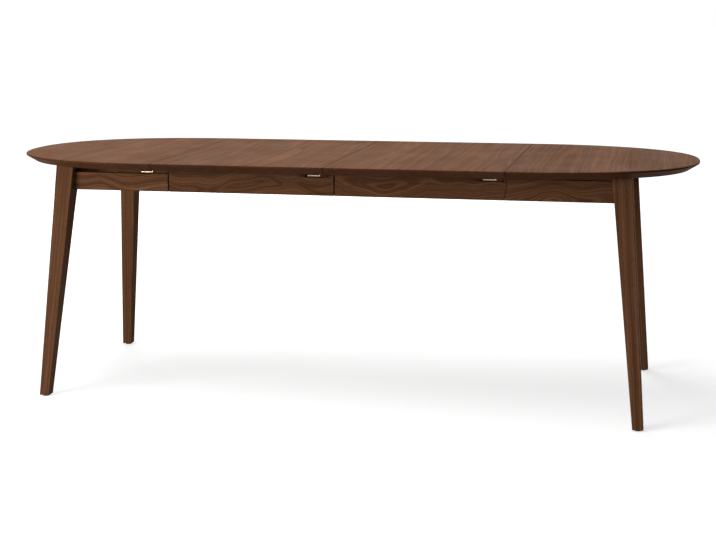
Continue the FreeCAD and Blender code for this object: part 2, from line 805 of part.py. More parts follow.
def lock_screws(screws, seam, as_base):
    """The screws of a seam's base plates or keeper plates, front and back."""
    offsets = (keeper_to - keeper_screw_margin,)
    if as_base:
        offsets = (-base_to + base_screw_margin, -base_from - keeper_screw_margin)
    for front in (-1, 1):
        for offset in offsets:
            seat = plate_bottom - screw_head_height
            screws.add(seam + offset, front * lock_y, seat, True, plate_screw_length)


def batten_screws(screws, place):
    """The screws that hold a batten to its board and the aprons to the batten."""
    for y in batten_screw_places:
        screws.add(place + batten_width / 4, y, apron_top, True, board_screw_length)
    for front in (-1, 1):
        screws.add(place, front * apron_middle_y, underside, False, apron_screw_length)


def build_centre():
    """The fixed middle: leaf half 1 on the centre rails."""
    screws = ScrewSet()
    places = (-batten_near, -batten_far)
    for place in places:
        batten_screws(screws, place)
    for rail_set in (-1, 0, 1):
        y = lane_y(0, rail_set)
        screws.add(-batten_near - batten_width / 4, y, underside, False, rail_screw_length)
        for side in (-1, 1):
            screws.add(side * tie_place, y, rail_bottom - tie_thick, True, tie_screw_length)
    lock_screws(screws, -leaf_half, False)
    lock_screws(screws, 0.0, True)
    holes = screws.holes
    bases = [lock_base(0.0, front) for front in (-1, 1)]
    keepers = [lock_keeper(-leaf_half, front) for front in (-1, 1)]
    hinges = [hinge_fixed(place) for place in hinge_places]
    cups = [hinge_cup(-1, place) for place in hinge_places]
    rails = {rail_set: centre_rail(rail_set) for rail_set in (-1, 0, 1)}
    racks = [centre_rack(side) for side in (-1, 1)]
    cutters = [slot for _, slot in racks] + pinion_pocket(0.0, 0.0, centre_gear_z)
    rails[0] = rails[0].cut(cutters)
    keep("leaf_1_top", [single(cut_all(leaf_top(-1), holes + cups))])
    keep("leaf_1_battens", [single(cut_all(batten(place), holes)) for place in places])
    keep("leaf_1_front_apron", [single(cut_all(leaf_apron(-1, -1), holes))])
    keep("leaf_1_back_apron", [single(cut_all(leaf_apron(-1, 1), holes))])
    keep("centre_rails", [single(cut_all(rail, holes)) for rail in rails.values()])
    keep("centre_racks", [shape for shape, _ in racks])
    keep("centre_cross_ties", [single(cut_all(cross_tie(side), holes)) for side in (-1, 1)])
    keep("leaf_hinges_fixed", hinges)
    keep("lock_bases_middle", [single(cut_all(base, holes)) for base in bases])
    keep("lock_keepers_left", [single(cut_all(keeper, holes)) for keeper in keepers])
    keep("screws_centre", screws.screws)


def build_leaf_2():
    """The swinging leaf half, which folds over the other one."""
    screws = ScrewSet()
    places = (batten_near, batten_far)
    for place in places:
        batten_screws(screws, place)
    lock_screws(screws, 0.0, False)
    lock_screws(screws, leaf_half, True)
    holes = screws.holes
    bases = [lock_base(leaf_half, front) for front in (-1, 1)]
    keepers = [lock_keeper(0.0, front) for front in (-1, 1)]
    cups = [hinge_cup(1, place) for place in hinge_places]
    keep("leaf_2_top", [single(cut_all(leaf_top(1), holes + cups))])
    keep("leaf_2_battens", [single(cut_all(batten(place), holes)) for place in places])
    keep("leaf_2_front_apron", [single(cut_all(leaf_apron(1, -1), holes))])
    keep("leaf_2_back_apron", [single(cut_all(leaf_apron(1, 1), holes))])
    keep("leaf_hinges_moving", [hinge_moving(place) for place in hinge_places])
    keep("lock_bases_right", [single(cut_all(base, holes)) for base in bases])
    keep("lock_keepers_middle", [single(cut_all(keeper, holes)) for keeper in keepers])
    keep("screws_leaf_2", screws.screws)


def build_end(name, side):
    """An end frame with its top, legs and end rails."""
    screws = ScrewSet()
    for cleat_middle in cleat_middles:
        middle = side * cleat_middle
        for y in cleat_screw_places:
            screws.add(middle + cleat_width / 4, y, rail_top - rail_clear, True, board_screw_length)
        for rail_set in (-1, 0, 1):
            y = lane_y(2 * side, rail_set)
            screws.add(middle - cleat_width / 4, y, underside, False, rail_screw_length)
    lock_screws(screws, side * leaf_half, side < 0)
    holes = screws.holes
    rails = {rail_set: end_rail(side, rail_set) for rail_set in (-1, 0, 1)}
    toothed, slot = end_rack(side)
    rails[0] = rails[0].cut(slot)
    bolts = [mirrored(piece, side, front) for front in (-1, 1) for piece in leg_bolts()]
    keep(name + "_top", [single(cut_all(end_top(side), holes))])
    keep(name + "_cleats", [single(cut_all(cleat(side, middle), holes)) for middle in cleat_middles])
    for front, word in ((-1, "_front"), (1, "_back")):
        keep(name + word + "_apron", [end_long_apron(side, front)])
        keep(name + word + "_leg", [mirrored(leg(), side, front)])
    keep(name + "_end_apron", [end_cross_apron(side)])
    keep(name + "_corner_blocks", [mirrored(corner_block(), side, front) for front in (-1, 1)])
    keep(name + "_leg_bolts", bolts)
    keep(name + "_glides", [mirrored(glide(), side, front) for front in (-1, 1)])
    keep(name + "_rails", [single(cut_all(rail, holes)) for rail in rails.values()])
    keep(name + "_rack", [toothed])
    if side < 0:
        bases = [lock_base(-leaf_half, front) for front in (-1, 1)]
        keep("lock_bases_left", [single(cut_all(base, holes)) for base in bases])
    else:
        keepers = [lock_keeper(leaf_half, front) for front in (-1, 1)]
        keep("lock_keepers_right", [single(cut_all(keeper, holes)) for keeper in keepers])
    keep("screws_" + name, screws.screws)


def build_middle_runner(name, side):
    """The three rails that run between the centre rails and an end's rails."""
    rails = {rail_set: middle_rail(side, rail_set) for rail_set in (-1, 0, 1)}
    toothed, slot = middle_rack(side)
    pocket = pinion_pocket(side * stage_travel, lane_y(side, 0), stage_gear_z)
    rails[0] = rails[0].cut([slot] + pocket)
    keep(name + "_rails", [single(rail) for rail in rails.values()])
    keep(name + "_rack", [toothed])


def build_pinions():
    """The centre pinion and the two stage pinions."""
    keep("centre_pinion", [pinion(0.0, 0.0, centre_gear_z)])
    for name, side in (("left_stage_pinion", -1), ("right_stage_pinion", 1)):
        keep(name, [pinion(side * stage_travel, lane_y(side, 0), stage_gear_z)])


def build_levers():
    """The six lock levers, front and back at each seam."""
    for seam_name, seam in (("left", -leaf_half), ("middle", 0.0), ("right", leaf_half)):
        for front, word in ((-1, "front"), (1, "back")):
            keep("lock_lever_" + seam_name + "_" + word, [lock_lever(seam, front)])


build_centre()
build_leaf_2()
build_end("left", -1)
build_end("right", 1)
build_middle_runner("left_middle", -1)
build_middle_runner("right_middle", 1)
build_pinions()
build_levers()

for node_name, solids in nodes.items():
    shape = solids[0] if len(solids) == 1 else Part.makeCompound(solids)
    shape.exportStep("parts/" + node_name + ".step")
    valid = all(solid.isValid() for solid in solids)
    print(f"{node_name:24s} {len(solids):3d} solids  {shape.Volume / 1000:10.1f} cm3  valid {valid}")
print(len(nodes), "nodes")
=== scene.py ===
"""The finish of an oval butterfly leaf table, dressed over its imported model.

Lengths are in metres.  +X runs along the table, +Y to its back and +Z up, and
the origin is on the floor under the middle.  Wooden pieces, plates, bolts, screws
and glides are closed surfaces worked out with numpy: a section with eased corners
that is carried along a line, turned about an axis or spread over half an oval.  The
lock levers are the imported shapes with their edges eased, and the racks, pinions and
hinges stay as they are packed, with a finish.
"""

import json
import logging
import math
from dataclasses import dataclass, field
from enum import Enum
from typing import ClassVar

import bmesh
import bpy
import numpy as np
from mathutils import Matrix, Vector

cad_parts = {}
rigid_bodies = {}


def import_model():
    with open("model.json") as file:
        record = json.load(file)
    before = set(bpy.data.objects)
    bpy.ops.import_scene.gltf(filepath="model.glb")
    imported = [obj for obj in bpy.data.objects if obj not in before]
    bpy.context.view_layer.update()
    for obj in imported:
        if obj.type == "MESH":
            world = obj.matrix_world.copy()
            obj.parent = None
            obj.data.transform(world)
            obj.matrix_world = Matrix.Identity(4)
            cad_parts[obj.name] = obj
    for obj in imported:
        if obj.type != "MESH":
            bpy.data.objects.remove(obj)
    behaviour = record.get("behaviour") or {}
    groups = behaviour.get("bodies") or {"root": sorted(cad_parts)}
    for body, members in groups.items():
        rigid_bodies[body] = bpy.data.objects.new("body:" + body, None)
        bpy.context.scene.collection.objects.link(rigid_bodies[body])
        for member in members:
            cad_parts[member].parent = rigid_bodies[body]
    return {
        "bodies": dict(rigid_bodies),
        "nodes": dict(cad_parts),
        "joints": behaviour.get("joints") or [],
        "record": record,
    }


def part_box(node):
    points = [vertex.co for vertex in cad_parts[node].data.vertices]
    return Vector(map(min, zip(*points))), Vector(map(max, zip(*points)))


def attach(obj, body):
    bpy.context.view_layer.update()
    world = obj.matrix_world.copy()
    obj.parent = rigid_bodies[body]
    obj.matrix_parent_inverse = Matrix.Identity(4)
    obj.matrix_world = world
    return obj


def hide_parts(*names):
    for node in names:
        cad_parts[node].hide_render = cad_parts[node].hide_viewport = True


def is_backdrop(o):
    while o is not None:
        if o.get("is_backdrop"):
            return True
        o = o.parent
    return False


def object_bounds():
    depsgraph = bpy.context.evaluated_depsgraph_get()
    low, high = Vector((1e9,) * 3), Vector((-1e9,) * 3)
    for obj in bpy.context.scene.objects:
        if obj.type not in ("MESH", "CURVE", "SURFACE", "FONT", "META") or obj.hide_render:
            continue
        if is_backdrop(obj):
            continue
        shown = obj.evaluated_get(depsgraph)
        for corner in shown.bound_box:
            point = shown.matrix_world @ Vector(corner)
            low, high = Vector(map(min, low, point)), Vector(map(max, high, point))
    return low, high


LOG = logging.getLogger("leaf_table")
GRAIN = "grain"
EASED = "eased"
END_GRAIN = "end_grain"
SIDES = (("left", -1), ("right", 1))
FACES = (("front", -1), ("back", 1))
HINGES = ("leaf_hinges_fixed", "leaf_hinges_moving")
LONG_EDGE = 1.5  # radius of a board's long edges, over that of its ends
LOG_SHIFT = 3.7  # how far the figure shifts along the log for each metre across it
SHARP = math.radians(35)  # faces that turn by more than this are shaded with a sharp edge
HEAD = 0.9  # share of its greatest radius beyond which a screw's points belong to its head
BEVELLED = math.radians(30)  # edges of a carried shape that turn by more than this are cut back
FLAT = math.radians(0.5)  # faces that turn by less than this are joined
MERGED = 0.000001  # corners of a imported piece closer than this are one
PLACE_DIGITS = 6  # corners alike to this many digits count as one
ORDER_DIGITS = 3  # digits of the middles by which solids are put in order
UPRIGHT = 0.9  # share of +Z beyond which a line counts as upright
UP = np.array([0.0, 0.0, 1.0])
Triple = tuple[float, float, float]
Colour = tuple[float, float, float, float]
Profile = tuple[tuple[float, float], ...]
Ends = float | np.ndarray
Rings = tuple[np.ndarray, np.ndarray, np.ndarray]
Socket = bpy.types.NodeSocket


class Axis(Enum):
    """The axis that a section is carried along."""

    X = 0
    Y = 1
    Z = 2


class Cap(Enum):
    """How the two ends of a carried section are closed."""

    STRIPS = "strips from side to side, for a section with a left and a right half alike"
    FACE = "one flat face"


def linear(red: float, green: float, blue: float) -> Colour:
    """Turn a screen colour into a linear one.

    Args:
        red: Red, from 0 to 255, as are the others.
        green: Green.
        blue: Blue.

    Returns:
        The linear colour with an alpha of 1.
    """
    screen = np.array([red, green, blue]) / 255
    light = np.where(screen <= 0.04045, screen / 12.92, ((screen + 0.055) / 1.055) ** 2.4)
    return (float(light[0]), float(light[1]), float(light[2]), 1.0)


def grey(level: float) -> Colour:
    """Give a linear grey."""
    return (level, level, level, 1.0)


def unit(vectors: np.ndarray) -> np.ndarray:
    """Scale each row to a length of one."""
    return vectors / np.linalg.norm(vectors, axis=-1, keepdims=True)


# ---- sections and skins ----------------------------------------------------
@dataclass(frozen=True)
class Outline:
    """A closed section, walked once round against the clock.

    Attributes:
        points: Places in the section's plane, one row each.
        normals: Outward directions at the points.
        eased: 1 on a rounded corner and 0 on a flat side.
    """

    points: np.ndarray
    normals: np.ndarray
    eased: np.ndarray

    @classmethod
    def rounded(cls, corners: list[tuple[float, float]], radii: float | list[float],
                arc_steps: int = 4, side_steps: int = 2, hold: float = 0.0004) -> "Outline":
        """Round the corners of a polygon with circular arcs.

        Each arc's centre lies on its corner's bisector, radius / sin(half angle) from
        the corner.  The arc runs between the two points where it touches the sides,
        with the direction from the centre turned evenly.  A point on each side just
        beyond the arc keeps the shading of the flat side flat.  The walk starts in the
        middle of the first side, so a section with two halves alike pairs its points.

        Args:
            corners: The polygon, against the clock.
            radii: One radius, or one for each corner.
            arc_steps: Steps in each arc.
            side_steps: Points added between two corners, an even number.
            hold: Distance of the holding points from the arcs.

        Returns:
            The rounded outline.
        """
        at = np.array(corners, float)
        count = len(at)
        radius = np.broadcast_to(np.asarray(radii, float), (count,))[:, None]
        back = unit(np.roll(at, 1, axis=0) - at)
        ahead = unit(np.roll(at, -1, axis=0) - at)
        half = np.arccos(np.clip((back * ahead).sum(1), -1, 1))[:, None] / 2
        touch = radius / np.tan(half)
        centre = at + unit(back + ahead) * radius / np.sin(half)
        first = (at + back * touch - centre) / radius
        last = (at + ahead * touch - centre) / radius
        sweep = math.pi - 2 * half[:, :, None]
        share = np.linspace(0, 1, arc_steps + 1)[None, :, None]
        turned = np.sin((1 - share) * sweep) * first[:, None]
        turned = (turned + np.sin(share * sweep) * last[:, None]) / np.sin(sweep)
        bulge = np.sign(ahead[:, 0] * back[:, 1] - ahead[:, 1] * back[:, 0])[:, None, None]
        arcs = centre[:, None] + radius[:, :, None] * turned
        before = (at + back * (touch + hold))[:, None]
        after = (at + ahead * (touch + hold))[:, None]
        share = (np.arange(side_steps) + 0.5)[None, :, None] / max(side_steps, 1)
        sides = after + (np.roll(before, -1, axis=0) - after) * share
        points = np.concatenate([before, arcs, after, sides], axis=1)
        leaving = last[:, None] * bulge
        normals = np.concatenate([first[:, None] * bulge, turned * bulge, leaving,
                                  np.repeat(leaving, side_steps, axis=1)], axis=1)
        eased = np.zeros(points.shape[:2])
        eased[:, 1:arc_steps + 2] = 1.0
        start = -(arc_steps + 3 + side_steps // 2)
        return cls(np.roll(points.reshape(-1, 2), start, axis=0),
                   np.roll(normals.reshape(-1, 2), start, axis=0),
                   np.roll(eased.reshape(-1), start))


@dataclass(frozen=True)
class GrainFrame:
    """A board's own directions, which its figure follows.

    Attributes:
        along: The way of the grain.
        across: Over the broad face.
        through: Into the board.
        origin: The point that the figure is counted from.
        lane: Which board of the log it is, as a shift across it.
        stretch: Factor across, which fits a whole number of planks into a panel.
    """

    along: Triple
    across: Triple
    through: Triple
    origin: Triple
    lane: float
    stretch: float = 1.0

    def read(self, points: np.ndarray) -> np.ndarray:
        """Give the place of each point in the board's own directions.

        Args:
            points: Places in the table's frame.

        Returns:
            Lengths along, across and through, with the board's own shifts.
        """
        base = unit(np.array([self.along, self.across, self.through], float))
        local = (points - np.array(self.origin)) @ base.T
        local[:, 1] = local[:, 1] * self.stretch + self.lane
        local[:, 0] += LOG_SHIFT * self.lane
        return local


@dataclass
class Skin:
    """One closed surface.

    Attributes:
        points: Corner places.
        quads: Four-sided faces.
        faces: Other faces, each an array of corners.
        eased: 1 where an edge is rounded over and 0 elsewhere; -1 on a top panel's seam edges,
            which get painted shade.
        grain: The board's own directions, where it is wood.
    """

    points: np.ndarray
    quads: np.ndarray
    faces: list[np.ndarray] = field(default_factory=list)
    eased: np.ndarray | None = None
    grain: GrainFrame | None = None

    def outward(self) -> "Skin":
        """Turn the faces round if the volume they enclose comes out negative.

        Returns:
            The same skin.
        """
        a, b, c, d = (self.points[self.quads[:, i]] for i in range(4))
        volume = (np.cross(a, b) * c).sum() + (np.cross(a, c) * d).sum()
        for face in self.faces:
            fan = self.points[face]
            volume += (np.cross(fan[0], fan[1:-1]) * fan[2:]).sum()
        if volume < 0:
            self.quads = self.quads[:, ::-1]
            self.faces = [face[::-1] for face in self.faces]
        return self

    def flipped(self, way_x: int, way_y: int) -> "Skin":
        """Give a copy: -1 mirrors it left to right, or front to back."""
        points = self.points * np.array([way_x, way_y, 1.0])
        return Skin(points, self.quads, self.faces, self.eased, self.grain).outward()


def end_steps(ease: float, steps: int = 3, hold: float = 0.0004) -> Rings:
    """Place the rings that round over an end along a quarter circle.

    A ring lies ease * (1 - cos turn) from the end and is drawn in by
    ease * (1 - sin turn), with one more ring on the flat at each side.

    Args:
        ease: The radius.
        steps: Steps in the quarter circle.
        hold: Distance of the two outer rings from it.

    Returns:
        Distances from the end, depths drawn in, and 1 on the rounded rings.
    """
    turn = np.linspace(0, math.pi / 2, steps + 1)
    along = np.concatenate([[0.0], ease * (1 - np.cos(turn)), [ease + hold]])
    drawn = np.concatenate([[ease + hold], ease * (1 - np.sin(turn)), [0.0]])
    return along, drawn, np.concatenate([[0.0], np.ones(steps + 1), [0.0]])


def stations(low: Ends, high: Ends, ease: float, spans: int = 1) -> Rings:
    """Place the rings of a piece from end to end, rounded over at both and evenly spread between.

    Args:
        low: Where it starts, or a place for each point of its section.
        high: Where it ends.
        ease: The radius at the ends.
        spans: Lengths between the two ends.

    Returns:
        Places, depths drawn in, and 1 on the rounded rings, each with one row for each ring.
    """
    along, drawn, rounded = (values[:, None] for values in end_steps(ease))
    low, high = np.broadcast_arrays(np.atleast_1d(low), np.atleast_1d(high))
    even = np.linspace(0, 1, spans + 1)[1:-1, None]
    flat = np.zeros(even.shape)
    places = np.concatenate([low + along, low + (high - low) * even, high - along[::-1]])
    drawn, rounded = (np.concatenate([rows, flat, rows[::-1]]) for rows in (drawn, rounded))
    return places, drawn, rounded


def ring_quads(rings: int, around: int) -> np.ndarray:
    """Join each ring of a closed walk to the next with four-sided faces.

    Args:
        rings: How many rings there are.
        around: Steps round each.

    Returns:
        The faces, four corners to a row.
    """
    ring, step = np.meshgrid(np.arange(rings - 1), np.arange(around), indexing="ij")
    following = (step + 1) % around
    corners = [ring * around + step, ring * around + following,
               (ring + 1) * around + following, (ring + 1) * around + step]
    return np.stack(corners, axis=-1).reshape(-1, 4)


def strip_quads(count: int, start: int) -> np.ndarray:
    """Close a ring by joining point i to its partner, point count - 1 - i."""
    step = np.arange(count // 2 - 1)
    return start + np.stack([step, step + 1, count - 2 - step, count - 1 - step], axis=1)


def loft(rings: np.ndarray, eased: np.ndarray, cap: Cap = Cap.STRIPS) -> Skin:
    """Join rings of points into a closed skin.

    Args:
        rings: Places, by ring and by step round it.
        eased: 1 where the surface is rounded over, by ring and step.
        cap: How the first and the last ring are closed.

    Returns:
        The skin, with its faces outward.
    """
    count, around = rings.shape[:2]
    sides = ring_quads(count, around)
    last = (count - 1) * around
    faces = []
    if cap is Cap.STRIPS:
        sides = np.concatenate([sides, strip_quads(around, 0)[:, ::-1], strip_quads(around, last)])
    else:
        faces = [np.arange(around)[::-1], last + np.arange(around)]
    return Skin(rings.reshape(-1, 3), sides, faces, eased.reshape(-1)).outward()


def placed(axis: Axis, along: np.ndarray, plane: np.ndarray) -> np.ndarray:
    """Put a section's points into space.

    Args:
        axis: The axis that the section looks along.
        along: Places on that axis.
        plane: Places in the section's plane, whose directions follow the axis in turn.

    Returns:
        Places in space.
    """
    columns = [None, None, None]
    columns[axis.value] = np.broadcast_to(along, plane.shape[:-1])
    columns[(axis.value + 1) % 3] = plane[..., 0]
    columns[(axis.value + 2) % 3] = plane[..., 1]
    return np.stack(columns, axis=-1)


def carried(outline: Outline, axis: Axis, start: Ends, end: Ends, ease: float,
            cap: Cap = Cap.STRIPS, share: Ends = 1.0, spans: int = 6) -> Skin:
    """Carry a section along an axis and round over both ends.

    The ends may be shaped: each point of the section has its own start and end, and
    the rings between them divide its length evenly.

    Args:
        outline: The section.
        axis: The axis to carry it along.
        start: The lower end, or one for each point.
        end: The upper end, or one for each point.
        ease: The radius at the ends.
        cap: How the ends are closed.
        share: How much of that radius each point takes.
        spans: Lengths between the two ends.

    Returns:
        The closed skin.
    """
    places, drawn, worn = stations(start, end, ease, spans)
    part = np.broadcast_to(share, outline.eased.shape)
    plane = outline.points - outline.normals * (drawn * part)[..., None]
    eased = np.maximum(outline.eased, worn * np.sign(part))
    return loft(placed(axis, places, plane), eased, cap)


def rectangle(low: np.ndarray, high: np.ndarray) -> list[tuple[float, float]]:
    """The corners of an upright rectangle, against the clock."""
    return [(low[0], low[1]), (high[0], low[1]), (high[0], high[1]), (low[0], high[1])]


def board(low: np.ndarray, high: np.ndarray, axis: Axis, ease: float) -> Skin:
    """A squared board with its long edges and its ends eased.

    Args:
        low: Its lowest corner.
        high: Its highest corner.
        axis: The axis along its length.
        ease: The radius at its ends.

    Returns:
        The closed skin.
    """
    order = [(axis.value + 1) % 3, (axis.value + 2) % 3]
    section = Outline.rounded(rectangle(low[order], high[order]), ease * LONG_EDGE)
    return carried(section, axis, low[axis.value], high[axis.value], ease)


def spun(radius: np.ndarray, height: np.ndarray, base: np.ndarray, way: np.ndarray) -> Skin:
    """Close the rings that stand along a line, with a radius for each ring and step.

    A point lies at base + way * height + radius * (cosine, sine) in the plane
    across the line.

    Args:
        radius: Radii, by ring and step.
        height: The height of each ring, or of each point of it.
        base: The point at height 0.
        way: The line's direction.

    Returns:
        The closed skin.
    """
    way = unit(np.asarray(way, float))
    helper = np.array([1.0, 0.0, 0.0]) if abs(way[2]) > UPRIGHT else UP
    side = unit(np.cross(helper, way))
    turn = (np.arange(radius.shape[1]) + 0.5) * 2 * math.pi / radius.shape[1]
    spread = np.cos(turn)[:, None] * side + np.sin(turn)[:, None] * np.cross(way, side)
    level = height if np.ndim(height) == 2 else np.reshape(height, (-1, 1))
    levels = np.broadcast_to(level, radius.shape)
    rings = np.asarray(base) + levels[..., None] * way + radius[..., None] * spread
    return loft(rings, np.zeros(radius.shape), Cap.FACE)


def turned(profile: Profile, base: np.ndarray, way: np.ndarray = UP, steps: int = 32) -> Skin:
    """Turn a profile of radius and height about a line from a base, into a closed skin."""
    radius, height = np.array(profile, float).T
    return spun(np.broadcast_to(radius[:, None], (len(radius), steps)), height, base, way)


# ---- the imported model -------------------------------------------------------
class PackedTable:
    """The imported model: the box of each node and the body that it rides on."""

    def __init__(self) -> None:
        """Load the model and keep its box."""
        self.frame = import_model()
        self.first_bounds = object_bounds()
        groups = self.frame["record"]["behaviour"]["bodies"]
        self.bodies = {node: body for body, nodes in groups.items() for node in nodes}

    def box(self, node: str) -> tuple[np.ndarray, np.ndarray]:
        """Give a node's lowest and highest corners."""
        low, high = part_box(node)
        return np.array(low), np.array(high)

    def solids(self, node: str) -> list[np.ndarray]:
        """Give the corner points of each separate solid of a node.

        Corners in the same place count as one, and each face hands the lowest mark
        of its corners to the others until the marks settle.

        Args:
            node: The node.

        Returns:
            One array of points for each solid, in the order of its middle's X, then of its Y.
        """
        mesh = self.frame["nodes"][node].data
        points = read(mesh, "co")
        mesh.calc_loop_triangles()
        corners = np.zeros(len(mesh.loop_triangles) * 3, np.int32)
        mesh.loop_triangles.foreach_get("vertices", corners)
        _, same = np.unique(np.round(points, PLACE_DIGITS), axis=0, return_inverse=True)
        same = same.reshape(-1)
        faces = same[corners].reshape(-1, 3)
        mark = np.arange(same.max() + 1)
        while True:
            lowest = mark[faces].min(axis=1)
            spread = mark.copy()
            for column in range(3):
                np.minimum.at(spread, faces[:, column], lowest)
            if (spread == mark).all():
                break
            mark = spread
        found = [points[mark[same] == value] for value in np.unique(mark)]
        middles = [(solid.min(axis=0) + solid.max(axis=0)) / 2 for solid in found]
        keys = [tuple(np.round(middle, ORDER_DIGITS)) for middle in middles]
        return [found[place] for place in sorted(range(len(found)), key=lambda place: keys[place])]

    def blocks(self, node: str) -> list[tuple[np.ndarray, np.ndarray]]:
        """Give the lowest and highest corners of each separate solid of a node."""
        return [(solid.min(axis=0), solid.max(axis=0)) for solid in self.solids(node)]

    def dress(self, nodes: tuple[str, ...], finish: "Finish") -> None:
        """Give a finish to carried nodes that stay in view.

        Args:
            nodes: The nodes.
            finish: Their finish.
        """
        for node in nodes:
            kept = self.frame["nodes"][node]
            kept.data.materials.clear()
            kept.data.materials.append(finish.material())
            LOG.info("%s: dressed", node)


def shown(name: str, data: bpy.types.ID) -> bpy.types.Object:
    """Put new data into the scene as an object.

    Args:
        name: The object's name.
        data: Its mesh, lamp or camera.

    Returns:
        The new object.
    """
    made = bpy.data.objects.new(name, data)
    bpy.context.scene.collection.objects.link(made)
    return made


def read(mesh: bpy.types.Mesh, name: str) -> np.ndarray:
    """Read a vector of each point of a mesh.

    Args:
        mesh: The mesh.
        name: What is read, such as "co" for the place.

    Returns:
        One row for each point.
    """
    rows = np.zeros(len(mesh.vertices) * 3, np.float32)
    mesh.vertices.foreach_get(name, rows)
    return rows.reshape(-1, 3).astype(float)


def write(mesh: bpy.types.Mesh, name: str, values: np.ndarray) -> None:
    """Store a number or a vector at each point of a mesh.

    Args:
        mesh: The mesh.
        name: The attribute's name.
        values: One number, or one row of three, for each point.
    """
    if name in mesh.attributes:
        mesh.attributes.remove(mesh.attributes[name])
    kind, key = ("FLOAT", "value") if values.ndim == 1 else ("FLOAT_VECTOR", "vector")
    layer = mesh.attributes.new(name, kind, "POINT")
    layer.data.foreach_set(key, values.astype(np.float32).ravel())


def make_mesh(name: str, skins: list[Skin]) -> bpy.types.Mesh:
    """Put skins into one mesh.

    Args:
        name: The mesh's name.
        skins: Closed surfaces.

    Returns:
        The mesh, shaded smooth with its sharper turns kept.
    """
    starts = np.cumsum([0] + [len(skin.points) for skin in skins])
    quads = np.concatenate([skin.quads + start for skin, start in zip(skins, starts)])
    faces = [face + start for skin, start in zip(skins, starts) for face in skin.faces]
    loops = np.concatenate([quads.ravel(), *faces]).astype(np.int32)
    totals = np.array([4] * len(quads) + [len(face) for face in faces], np.int32)
    mesh = bpy.data.meshes.new(name)
    points = np.concatenate([skin.points for skin in skins])
    mesh.vertices.add(len(points))
    mesh.vertices.foreach_set("co", points.astype(np.float32).ravel())
    mesh.loops.add(len(loops))
    mesh.loops.foreach_set("vertex_index", loops)
    mesh.polygons.add(len(totals))
    firsts = np.concatenate([[0], np.cumsum(totals)[:-1]]).astype(np.int32)
    mesh.polygons.foreach_set("loop_start", firsts)
    mesh.polygons.foreach_set("loop_total", totals)
    mesh.update(calc_edges=True)
    mesh.validate()
    shade(mesh)
    write(mesh, EASED, np.concatenate([skin.eased for skin in skins]))
    if all(skin.grain is not None for skin in skins):
        write_grain(mesh, [(skin.grain, len(skin.points)) for skin in skins])
    return mesh


def write_grain(mesh: bpy.types.Mesh, parts: list[tuple[GrainFrame, int]]) -> None:
    """Store each point's place in its board, and how far it looks along the grain.

    The second is the size of the cosine between the normal and the grain.

    Args:
        mesh: The mesh.
        parts: The grain and the number of points of each part, in their order.
    """
    stops = np.cumsum([count for _, count in parts])[:-1]
    points, normals = (np.split(read(mesh, name), stops) for name in ("co", "normal"))
    boards = [grain for grain, _ in parts]
    write(mesh, GRAIN, np.concatenate([grain.read(own) for grain, own in zip(boards, points)]))
    write(mesh, END_GRAIN, np.concatenate([
        np.abs(own @ unit(np.array(grain.along, float))) for grain, own in zip(boards, normals)]))


def shade(mesh: bpy.types.Mesh) -> None:
    """Shade a mesh smooth, with its sharper turns kept."""
    mesh.shade_smooth()
    mesh.set_sharp_from_angle(angle=SHARP)


class Workshop:
    """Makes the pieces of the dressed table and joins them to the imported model."""

    def __init__(self, table: PackedTable) -> None:
        """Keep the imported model."""
        self.table = table

    def piece(self, name: str, skins: list[Skin], node: str, finish: "Finish",
              cuts: list[Skin] | None = None) -> bpy.types.Object:
        """Make one piece that stands for a node and rides on its body.

        Args:
            name: The piece's name.
            skins: Its closed surfaces.
            node: The node that it stands for.
            finish: Its finish.
            cuts: Closed surfaces to carve out of it.

        Returns:
            The new object.
        """
        made = shown(name, make_mesh(name, skins))
        if cuts:
            carve(made, cuts, skins[0].grain)
        return self.settle(made, node, finish)

    def softened(self, name: str, node: str, finish: "Finish", width: float) -> bpy.types.Object:
        """Put a copy of a node's own shape in its place, with its sharp edges eased.

        Corners in one place are merged and flat neighbours joined.  Each edge where
        the faces turn by more than BEVELLED is then cut back in two steps.

        Args:
            name: The piece's name.
            node: The node.
            finish: Its finish.
            width: How far an edge is cut back.

        Returns:
            The new object.
        """
        work = bmesh.new()
        work.from_mesh(self.table.frame["nodes"][node].data)
        bmesh.ops.remove_doubles(work, verts=work.verts, dist=MERGED)
        bmesh.ops.dissolve_limit(work, angle_limit=FLAT, verts=work.verts, edges=work.edges)
        sharp = [edge for edge in work.edges
                 if edge.is_manifold and edge.calc_face_angle() > BEVELLED]
        bmesh.ops.bevel(work, geom=sharp, offset=width, segments=2, profile=0.5,
                        affect="EDGES", clamp_overlap=True)
        mesh = bpy.data.meshes.new(name)
        work.to_mesh(mesh)
        work.free()
        if "custom_normal" in mesh.attributes:
            mesh.attributes.remove(mesh.attributes["custom_normal"])
        mesh.materials.clear()
        shade(mesh)
        return self.settle(shown(name, mesh), node, finish)

    def settle(self, made: bpy.types.Object, node: str, finish: "Finish") -> bpy.types.Object:
        """Finish a piece and let it ride in a node's place.

        Args:
            made: The piece.
            node: The node that it stands for.
            finish: Its finish.

        Returns:
            The piece.
        """
        made.data.materials.append(finish.material())
        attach(made, self.table.bodies[node])
        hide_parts(node)
        LOG.info("%s: %d faces, in place of %s", made.name, len(made.data.polygons), node)
        return made


